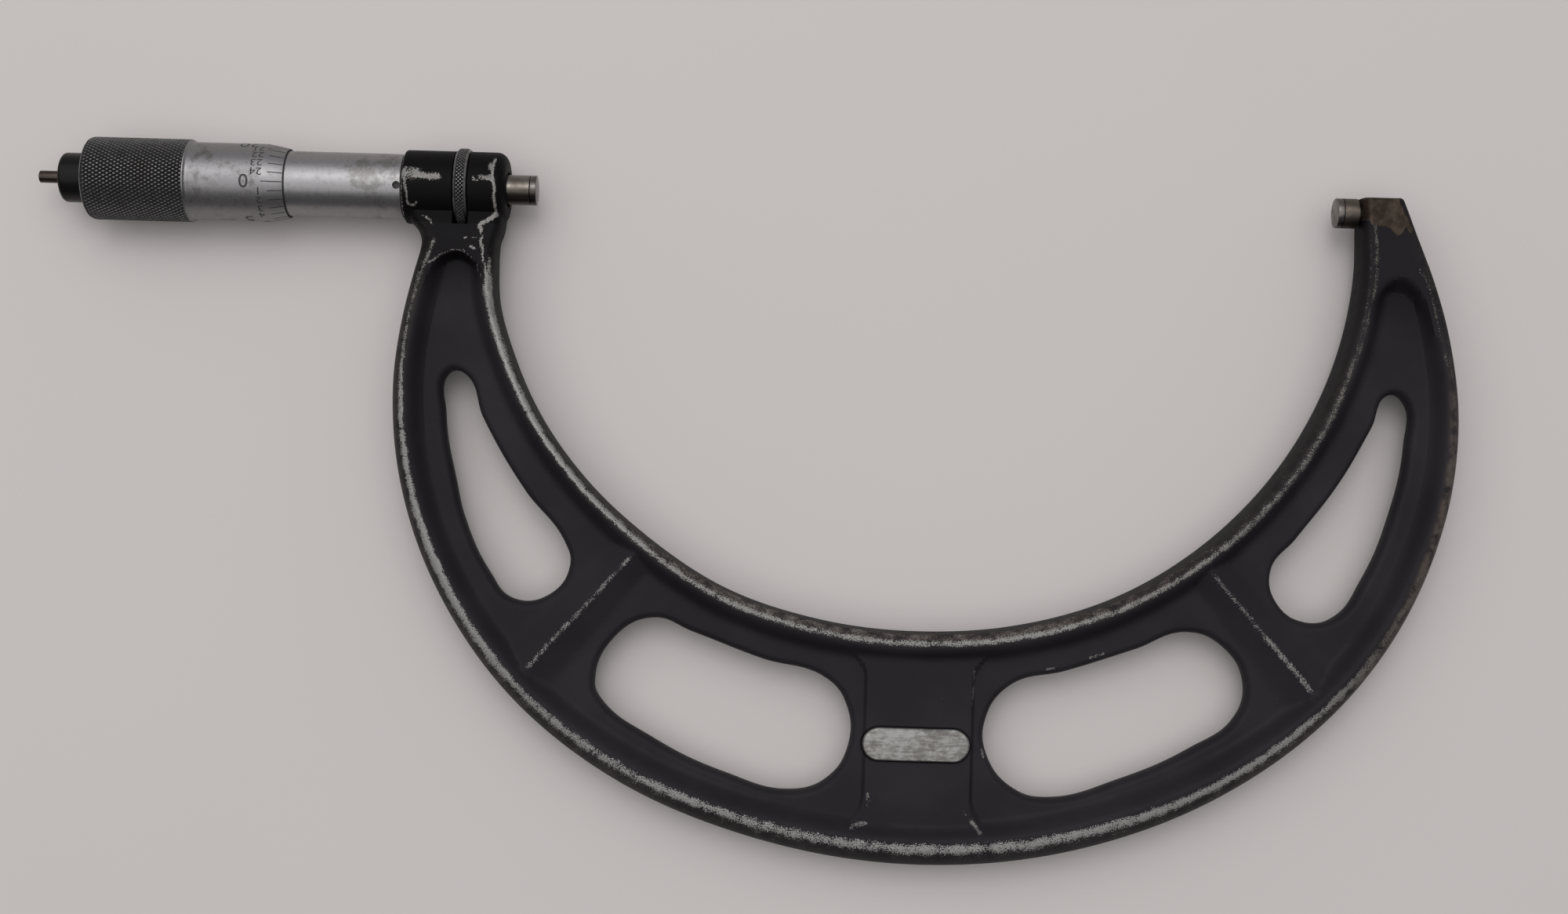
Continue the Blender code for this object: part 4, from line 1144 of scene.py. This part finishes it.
def joined(thing, name, mesh, operation="DIFFERENCE"):
    """Cuts a mesh from an object, or unites them, by a modifier; gives the mesh's object."""
    step = thing.modifiers.new(name, "BOOLEAN")
    step.operation = operation
    step.solver = "EXACT"
    step.object = linked(name, mesh)
    return step.object


class MadePiece:
    """Shared by the operators."""
    bl_options = {"REGISTER", "UNDO"}


class MICROMETER_OT_bow(MadePiece, bpy.types.Operator):
    """Build the forged bow with its windows, struts, pad, hub and worn enamel"""
    bl_idname = "micrometer.bow"
    bl_label = "Forged bow"

    def execute(self, context):
        sizes = context.scene.micrometer_bow
        bow = Bow(sizes)
        points, faces = bow_surface(bow, sizes)
        thing = linked("bow_raw", bpy.data.meshes.new("bow_raw"))
        thing.data.from_pydata(points, [], faces)
        self.join_hub(thing)
        points, faces = final_mesh(thing, lambda mesh: (
            np.array([v.co[:] for v in mesh.vertices]),
            [tuple(p.vertices) for p in mesh.polygons]))
        for step in list(thing.modifiers):
            bpy.data.objects.remove(step.object, do_unlink=True)
        bpy.data.objects.remove(thing, do_unlink=True)
        make_piece("bow_enamelled", points, faces, enamel_finish(sizes), "frame", ("frame",),
                   "black_enamel", bow_fields(bow, points), sharp=32.0)
        return {"FINISHED"}

    def join_hub(self, thing):
        """Union with the turned hub, then the bores for barrel, ring, collet and anvil."""
        slot_left, slot_right = ring_left - 0.3, ring_right + 0.3
        arc = [math.radians(9 * k) for k in range(11)]
        rounding = 2.4
        nose = [(hub_right - rounding + rounding * math.cos(a),
                 HUB_RADIUS - rounding + rounding * math.sin(a)) for a in arc]
        far = [(hub_left + 0.4, HUB_RADIUS), (hub_left + 0.12, HUB_RADIUS - 0.12),
               (hub_left, HUB_RADIUS - 0.4), (hub_left, 0.0)]
        hub = [(hub_right, 0.0)] + refined(nose + far[:1], 0.45) + far[1:]
        self.bore(thing, "hub", hub, 150, "UNION")
        stepped = [(hub_right + 4.8, 0.0), (hub_right + 4.8, 3.775), (hub_right - 1.6, 3.775),
                   (hub_right - 1.6, 5.2), (slot_right, 5.2), (slot_right, 9.9), (slot_left, 9.9),
                   (slot_left, 6.1), (hub_left - 4.8, 6.1), (hub_left - 4.8, 0.0)]
        self.bore(thing, "hub_bore", stepped, 150, "DIFFERENCE")
        hole_end = ANVIL_LENGTH + 7.0
        anvil_hole = [(hole_end, 0.0), (hole_end, 2.5), (0.0, 2.5), (0.0, 0.0)]
        self.bore(thing, "anvil_bore", anvil_hole, 48, "DIFFERENCE")

    def bore(self, thing, name, outline, steps, operation):
        shape = Shape()
        shape.add(*revolve(outline, steps))
        points, faces = shape.welded()
        mesh = bpy.data.meshes.new(name)
        mesh.from_pydata(points, [], [tuple(reversed(face)) for face in faces])
        joined(thing, name, mesh, operation)


class MICROMETER_OT_spindle(MadePiece, bpy.types.Operator):
    """Build the polished spindle and its hard tip"""
    bl_idname = "micrometer.spindle"
    bl_label = "Spindle"

    def execute(self, context):
        steels = context.scene.micrometer_steel
        ground = steel_finish("spindle_steel", tuple(steels.ground), tuple(steels.stain),
                              0.24, 0.75, side_shade=0.75)
        tip = steel_finish("tip_steel", (0.15, 0.14, 0.13), (0.08, 0.068, 0.058), 0.2, 0.6,
                           side_shade=0.7)
        radius = SPINDLE_RADIUS
        outline = [(spindle_right, 0.0), (spindle_right, radius), (-209.5, radius), (-210.0, 3.9),
                   (-254.0, 3.9), (-254.2, 3.35), (-257.8, 3.1), (spindle_left, 2.6),
                   (spindle_left, 1.4), (spindle_left + 5.0, 1.4), (spindle_left + 5.0, 0.0)]
        turned_piece("spindle_rod", softened(outline, 0.08), 96, ground, "spindle", ("spindle",),
                     "ground_steel")
        outline = [(tip_right, 0.0), (tip_right, radius), (tip_left, radius), (tip_left, 0.0)]
        turned_piece("spindle_face", softened(outline, 0.12), 96, tip, "spindle",
                     ("spindle_tip",), "hard_tip")
        return {"FINISHED"}


class MICROMETER_OT_anvil(MadePiece, bpy.types.Operator):
    """Build the anvil and its hard tip"""
    bl_idname = "micrometer.anvil"
    bl_label = "Anvil"

    def execute(self, context):
        ground = steel_finish("anvil_steel", (0.115, 0.098, 0.082), (0.055, 0.043, 0.034),
                              0.34, 0.8)
        tip = steel_finish("anvil_tip_steel", (0.15, 0.14, 0.125), (0.075, 0.062, 0.052),
                           0.28, 0.6)
        radius = SPINDLE_RADIUS
        outline = [(anvil_right, 0.0), (anvil_right, 2.2), (4.55, 2.2), (4.55, radius),
                   (anvil_left, radius), (anvil_left, 0.0)]
        turned_piece("anvil_body", softened(outline, 0.08), 96, ground, "frame", ("anvil",),
                     "ground_steel")
        outline = [(1.3, 0.0), (1.3, radius), (0.0, radius), (0.0, 0.0)]
        turned_piece("anvil_face", softened(outline, 0.12), 96, tip, "frame", ("anvil_tip",),
                     "hard_tip")
        return {"FINISHED"}


class MICROMETER_OT_sleeve(MadePiece, bpy.types.Operator):
    """Build the sleeve with its spanner hole, and the scale along its far side"""
    bl_idname = "micrometer.sleeve"
    bl_label = "Graduated sleeve"

    def execute(self, context):
        dial = context.scene.micrometer_dial
        outline = [(sleeve_right, 6.1), (sleeve_right, SLEEVE_RADIUS),
                   (sleeve_left, SLEEVE_RADIUS), (sleeve_left, 6.1)]
        shape = Shape()
        outline = refined(softened([outline[-1]] + outline[:3] + [outline[3]], 0.15)[1:], 2.0)
        shape.add(*revolve(outline, 120, closed=True))
        points, faces = shape.welded()
        finish = chrome_finish("sleeve_chrome", dial, 0.6, 1.0, 0.36)
        sleeve = make_piece("sleeve_tube", points, faces, finish, "sleeve", ("graduated_sleeve",),
                            "satin_chrome")
        self.spanner_hole(sleeve)
        self.scale(dial)
        return {"FINISHED"}

    def spanner_hole(self, sleeve):
        mesh = bpy.data.meshes.new("hole")
        drill = bmesh.new()
        bmesh.ops.create_cone(drill, cap_ends=True, segments=40, radius1=0.82 * MM,
                              radius2=0.82 * MM, depth=4 * MM)
        middle = Vector((sleeve_right - HOLE_SETBACK, -0.55, SLEEVE_RADIUS)) * MM
        bmesh.ops.translate(drill, verts=drill.verts, vec=middle)
        drill.to_mesh(mesh)
        drill.free()
        cutter = joined(sleeve, "hole", mesh)
        bpy.context.view_layer.update()
        ready = sleeve.evaluated_get(bpy.context.evaluated_depsgraph_get())
        drilled = bpy.data.meshes.new_from_object(ready)
        sleeve.modifiers.clear()
        sleeve.data = drilled
        bpy.data.objects.remove(cutter, do_unlink=True)

    def scale(self, dial):
        """Datum line, 40 graduations to the inch and their numbers, on the far side, and a dark
        disc of painted shade in the spanner hole.
        """
        shape = Shape()
        zero = thimble_right + TRAVEL_TO_CLOSED
        down = -math.pi / 2

        def radius_at(x):
            return SLEEVE_RADIUS

        points, faces = strip(dial.line_width, 0.0, 26.2, 26)
        shape.add(wrapped(points, zero - 25.9, radius_at, down, INK_HEIGHT), faces)
        # Painted shade: a dark disc set in the spanner hole, so that the hole reads dark.
        turns = [math.radians(15 * k) for k in range(24)]
        hole_shade_disc = [(0.86 * math.cos(t), 0.86 * math.sin(t), 0.0) for t in turns]
        patch = wrapped(hole_shade_disc, sleeve_right - HOLE_SETBACK, lambda x: 6.22,
                        math.radians(94.6), 0.0)
        shape.add(patch, [tuple(range(24))])
        for k in range(41):
            place = zero - THREAD_PITCH * k
            reach = 3.6 if k % 4 == 0 else 2.2
            points, faces = strip(dial.line_width, -reach, 0.0, 8, round_axis=True)
            shape.add(wrapped(points, place, radius_at, down, INK_HEIGHT), faces)
            if k % 4 == 0 and place > thimble_right:
                points, faces = figure(str(k // 4 % 10), 1.9, 0.01)
                turned = [(u, v - 4.9, w) for u, v, w in points]
                shape.add(wrapped(turned, place, radius_at, down, INK_HEIGHT), faces)
        make_piece("sleeve_scale", shape.points, outward(shape.points, shape.faces),
                   ink_finish(dial), "sleeve", slot="black_oxide")


def knurled_band(left, right, radius, depth, around, length_share, crown, chamfer):
    """A diamond knurl on a cylinder as an open tube of small flat-topped pyramids."""
    half_turn = math.pi / around
    half_x = half_turn * radius * length_share
    count_x = math.ceil((right - left) / half_x) + 2
    start = left - half_x
    points, faces, known = [], [], {}

    def put(i, j, share_i, share_j, height):
        key = (round(2 * (i + share_i), 4), round(2 * (j + share_j) % (4 * around), 4))
        if key not in known:
            known[key] = len(points)
            points.append((start + (i + share_i) * half_x, (j + share_j) * half_turn, height))
        return known[key]

    for i in range(count_x + 1):
        for j in range(2 * around):
            if (i + j) % 2:
                continue
            corners = [(1, 0), (0, 1), (-1, 0), (0, -1)]
            low = [put(i, j, a, b, radius - depth) for a, b in corners]
            high = [put(i, j, a * crown, b * crown, radius) for a, b in corners]
            faces.append(tuple(reversed(high)))
            for k in range(4):
                n = (k + 1) % 4
                faces.append((low[n], low[k], high[k], high[n]))
    mesh = bmesh.new()
    verts = []
    for x, turn, r in points:
        verts.append(mesh.verts.new((x, r * math.cos(turn), r * math.sin(turn))))
    for face in faces:
        mesh.faces.new([verts[k] for k in face])
    for x, sign, cut in ((left, -1, chamfer[0]), (right, 1, chamfer[1])):
        whole = list(mesh.verts) + list(mesh.edges) + list(mesh.faces)
        bmesh.ops.bisect_plane(mesh, geom=whole, dist=1e-6, plane_co=(x, 0, 0),
                               plane_no=(sign, 0, 0), clear_outer=True)
        whole = list(mesh.verts) + list(mesh.edges) + list(mesh.faces)
        bmesh.ops.bisect_plane(mesh, geom=whole, dist=1e-6,
                               plane_co=(x - sign * cut, 0, 0), plane_no=(sign, 0, 0))
    for v in mesh.verts:
        gap = min((v.co.x - left) / chamfer[0], (right - v.co.x) / chamfer[1])
        limit = radius - depth * (1.0 - math.sqrt(min(max(gap, 0.0), 1.0)))
        r = math.hypot(v.co.y, v.co.z)
        if r > limit:
            v.co.y *= limit / r
            v.co.z *= limit / r
    mesh.verts.ensure_lookup_table()
    index = {v: k for k, v in enumerate(mesh.verts)}
    points = [tuple(v.co) for v in mesh.verts]
    faces = [tuple(index[v] for v in f.verts) for f in mesh.faces]
    mesh.free()
    return points, faces


class MICROMETER_OT_thimble(MadePiece, bpy.types.Operator):
    """Build the thimble with its knurled grip, bevel, graduations and numbers"""
    bl_idname = "micrometer.thimble"
    bl_label = "Thimble"

    def execute(self, context):
        dial = context.scene.micrometer_dial
        plain_left = thimble_left + 22.0
        depth = dial.knurl_depth
        grip = 8.75
        outline = [(thimble_right, 7.2), (thimble_right, 7.35), (thimble_right - 4.3, 8.2),
                   (plain_left + 0.3, 8.2), (plain_left, 8.3), (plain_left - 0.2, grip - 0.12),
                   (plain_left - 0.5, grip - 0.05), (plain_left - 0.52, grip - depth)]
        outline = refined(softened(outline, 0.12), 1.5)
        far = [(thimble_left + 0.5, grip - depth), (thimble_left, grip - 0.75),
               (thimble_left, 5.55), (thimble_left + 2.8, 5.55), (thimble_left + 2.8, 2.9),
               (thimble_left + 6.7, 3.4), (thimble_left + 6.7, 7.2), (thimble_right, 7.2)]
        shape = Shape()
        shape.add(*revolve(outline, 160))
        shape.add(*revolve(far, 160))
        knurl = knurled_band(thimble_left + 0.3, plain_left - 0.5, grip, depth, 66, 1.74, 0.43,
                             (0.9, 0.05))
        finish = chrome_finish("thimble_chrome", dial, 0.7, 0.88, 0.40)
        points, faces = shape.welded()
        make_piece("thimble_body", points, faces, finish, "thimble", ("thimble",), "satin_chrome")
        grip_finish = chrome_finish("knurl_steel", dial, 0.8, 0.62, 0.42,
                                    ((grip - depth * 0.55) * MM, (grip - depth * 0.02) * MM))
        make_piece("thimble_knurl", *knurl, grip_finish, "thimble", slot="knurled_steel",
                   sharp=20.0)
        self.graduations(dial)
        return {"FINISHED"}

    def graduations(self, dial):
        """25 lines and numbers that grow towards the bow, with the fifths larger, and a dark ring
        of painted shadow at the thimble's edge.
        """
        shape = Shape()
        edge = thimble_right

        def radius_at(x):
            return 7.35 + 0.85 * min(max((edge - x) / 4.3, 0.0), 1.0)

        zero_turn = math.radians(95)
        for k in range(dial.divisions):
            turn = zero_turn + 2 * math.pi * k / dial.divisions
            reach = 3.1 if k else 4.3
            points, faces = strip(dial.line_width, 0.0, reach - 0.1, 4)
            shape.add(wrapped(points, edge - reach, radius_at, turn, INK_HEIGHT), faces)
            if k % 5 == 0:
                height, wide, centre = 2.9, 1.05, 7.95
            else:
                height, wide, centre = 1.6, 1.2, 4.9 if k < 10 else 5.45
            points, faces = figure(str(k), height)
            turned = [(-u * wide, v, w) for u, v, w in points]
            shape.add(wrapped(turned, edge - centre, radius_at, turn, INK_HEIGHT), faces)
        # Painted shadow: a thin dark ring at the thimble's edge stands in for the shadow in the gap
        # to the sleeve, with some oil dirt at the lip.
        gap_shadow_ring = [(edge + 0.24, 6.93), (edge + 0.2, 7.03), (edge - 0.3, 7.03), (edge - 0.3, 6.93)]
        shape.add(*revolve(gap_shadow_ring, 96, closed=True))
        make_piece("thimble_scale", shape.points, outward(shape.points, shape.faces),
                   ink_finish(dial), "thimble", slot="black_oxide")


class MICROMETER_OT_lock_ring(MadePiece, bpy.types.Operator):
    """Build the knurled lock ring in the slot of the hub"""
    bl_idname = "micrometer.lock_ring"
    bl_label = "Lock ring"

    def execute(self, context):
        dial = context.scene.micrometer_dial
        radius, depth = 8.45, 0.3
        side = 0.45
        near = [(ring_right, 5.5), (ring_right, radius - 0.45),
                (ring_right - side, radius - depth * 0.4), (ring_right - side, radius - depth)]
        far = [(ring_left + side, radius - depth), (ring_left + side, radius - depth * 0.4),
               (ring_left, radius - 0.45), (ring_left, 5.5)]
        shape = Shape()
        shape.add(*revolve(softened(near, 0.06), 120))
        shape.add(*revolve(softened(far, 0.06) + [(ring_right, 5.5)], 120))
        plain = chrome_finish("ring_steel", dial, 0.9, 0.6, 0.4)
        points, faces = shape.welded()
        make_piece("lock_ring_body", points, faces, plain, "lock_ring", ("lock_ring",),
                   "knurled_steel")
        knurl = knurled_band(ring_left + side, ring_right - side, radius, depth, 64, 1.0, 0.45,
                             (0.12, 0.12))
        finish = chrome_finish("ring_knurl", dial, 0.8, 0.8, 0.4,
                               ((radius - depth * 0.55) * MM, (radius - depth * 0.02) * MM))
        make_piece("lock_ring_knurl", *knurl, finish, "lock_ring", slot="knurled_steel",
                   sharp=20.0)
        return {"FINISHED"}


class MICROMETER_OT_ratchet(MadePiece, bpy.types.Operator):
    """Build the black ratchet cap and the bare stem"""
    bl_idname = "micrometer.ratchet"
    bl_label = "Ratchet cap and stem"

    def execute(self, context):
        steels = context.scene.micrometer_steel
        arc = [math.radians(7.5 * k) for k in range(13)]
        radius, rounding = 5.25, 0.9
        round_end = [(cap_left + rounding - rounding * math.sin(a),
                      radius - rounding + rounding * math.cos(a)) for a in arc]
        groove = thimble_left + 1.4
        outline = [(cap_right, 4.2), (cap_right, radius), (groove + 0.6, radius),
                   (groove + 0.6, 4.75), (groove - 0.6, 4.75), (groove - 0.6, radius)]
        outline += round_end + [
                   (cap_left, 1.2), (cap_left + 1.2, 1.2), (cap_left + 1.2, 4.2)]
        turned_piece("ratchet_cap_black", outline, 120, black_finish(steels), "ratchet",
                     ("ratchet_cap",), "black_oxide", closed=True)
        outline = [(stem_right, 0.0), (stem_right, 1.9), (stem_right - 0.6, 1.9),
                   (stem_right - 0.6, 0.85), (cap_left - 0.3, 0.85), (cap_left - 0.3, 1.3),
                   (stem_left, 1.3), (stem_left, 0.0)]
        finish = steel_finish("stem_steel", (0.06, 0.048, 0.042), (0.022, 0.015, 0.012), 0.28, 0.7)
        turned_piece("ratchet_stem_steel", softened(outline, 0.2), 72, finish, "ratchet",
                     ("ratchet_stem",), "dark_steel")
        return {"FINISHED"}


class MICROMETER_OT_inner_pieces(MadePiece, bpy.types.Operator):
    """Give the pieces inside the hub, thimble and cap their steel finishes"""
    bl_idname = "micrometer.inner_pieces"
    bl_label = "Inner pieces"

    def execute(self, context):
        steels = context.scene.micrometer_steel
        ground = steel_finish("barrel_steel", tuple(steels.ground), tuple(steels.stain), 0.3, 0.5)
        dark = steel_finish("inner_dark_steel", tuple(steels.dark), (0.06, 0.045, 0.035), 0.32, 0.5)
        spring = steel_finish("bright_spring", (0.38, 0.37, 0.36), (0.2, 0.17, 0.14), 0.3, 0.4)
        finishes = {
            "barrel": ground, "lock_roller": ground, "adjusting_nut": dark, "lock_collet": dark,
            "ratchet_wheel": dark, "thimble_screw": dark, "ratchet_disc": dark,
            "ratchet_clip": spring, "drive_pin": spring, "ratchet_spring": spring,
        }
        for name, finish in finishes.items():
            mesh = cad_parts[name].data
            mesh.materials.clear()
            mesh.materials.append(finish)
        return {"FINISHED"}


class MICROMETER_OT_stage(MadePiece, bpy.types.Operator):
    """Set the pale table, the soft lamps and the camera over the micrometer"""
    bl_idname = "micrometer.stage"
    bl_label = "Table, lamps and camera"

    def execute(self, context):
        stage = context.scene.micrometer_stage
        self.table(stage)
        self.lamp("soft_lamp", (-0.30, 0.25, 1.30), 2.6, 15.0)
        self.lamp("key_lamp", (-0.20, 0.55, 1.30), 0.75, 3.2)
        room = Finish("soft_room", world=True)
        side = room.parts(room.node("TexCoord", output="Generated"))[1]
        room.set("Color", (0.97, 0.96, 1.0))
        room.set("Strength", side.step(-0.9, 0.5) * 0.34 + 0.12)
        context.scene.world = room.material
        context.scene.view_settings.view_transform = "Standard"
        eye = bpy.data.cameras.new("overhead")
        eye.sensor_width = 36.0
        eye.lens = eye.sensor_width * PIXELS_PER_MM * stage.height / MM / PHOTO_WIDTH
        eye.clip_start, eye.clip_end = 0.01, 10.0
        camera = linked("overhead", eye)
        camera.location = (-0.1160, -0.0553, stage.height)
        camera.rotation_euler = (0.0, 0.0, math.atan(0.0284))
        context.scene.camera = camera
        return {"FINISHED"}

    def table(self, stage):
        mesh = bpy.data.meshes.new("table")
        half = 3.0
        mesh.from_pydata([(-half, -half, 0), (half, -half, 0), (half, half, 0), (-half, half, 0)],
                         [], [(0, 1, 2, 3)])
        table = linked("table", mesh)
        table.location = (0.0, 0.0, -8.79 * MM)
        table.rotation_euler = (-stage.floor_tilt, 0.0, 0.0)
        f = Finish("pale_table", roughness=0.75)
        cloud = f.noise(6.0, 3.0)
        base = tuple(stage.floor)
        f.set("Base Color", f.mix(cloud, tuple(c * 0.97 for c in base), base))
        f.set("Specular IOR Level", 0.2)
        mesh.materials.append(f.material)

    def lamp(self, name, place, size, power):
        light = bpy.data.lights.new(name, "AREA")
        light.shape = "DISK"
        light.size = size
        light.energy = power
        lamp = linked(name, light)
        lamp.location = place
        aim = Vector((-0.12, -0.06, 0.0)) - Vector(place)
        lamp.rotation_euler = aim.to_track_quat("-Z", "Y").to_euler()


operators = (
    MICROMETER_OT_bow, MICROMETER_OT_spindle, MICROMETER_OT_anvil, MICROMETER_OT_sleeve,
    MICROMETER_OT_thimble, MICROMETER_OT_lock_ring, MICROMETER_OT_ratchet,
    MICROMETER_OT_inner_pieces, MICROMETER_OT_stage,
)
setting_groups = {
    "micrometer_bow": BowSettings, "micrometer_dial": DialSettings,
    "micrometer_steel": SteelSettings, "micrometer_stage": StageSettings,
}


class MICROMETER_PT_pieces(bpy.types.Panel):
    """Buttons that build the micrometer's pieces, and their settings"""
    bl_idname = "MICROMETER_PT_pieces"
    bl_label = "Outside micrometer"
    bl_space_type = "VIEW_3D"
    bl_region_type = "UI"
    bl_category = "Micrometer"

    def draw(self, context):
        for operator in operators:
            self.layout.operator(operator.bl_idname)
        for name, group in setting_groups.items():
            box = self.layout.box()
            for setting in group.__annotations__:
                box.prop(getattr(context.scene, name), setting)


def register():
    for group in setting_groups.values():
        bpy.utils.register_class(group)
    for operator in operators:
        bpy.utils.register_class(operator)
    bpy.utils.register_class(MICROMETER_PT_pieces)
    for name, group in setting_groups.items():
        setattr(bpy.types.Scene, name, PointerProperty(type=group))


def unregister():
    for name in setting_groups:
        delattr(bpy.types.Scene, name)
    bpy.utils.unregister_class(MICROMETER_PT_pieces)
    for operator in reversed(operators):
        bpy.utils.unregister_class(operator)
    for group in setting_groups.values():
        bpy.utils.unregister_class(group)


def main():
    register()
    for operator in operators:
        group, name = operator.bl_idname.split(".")
        getattr(getattr(bpy.ops, group), name)()


if __name__ == "__main__":
    main()
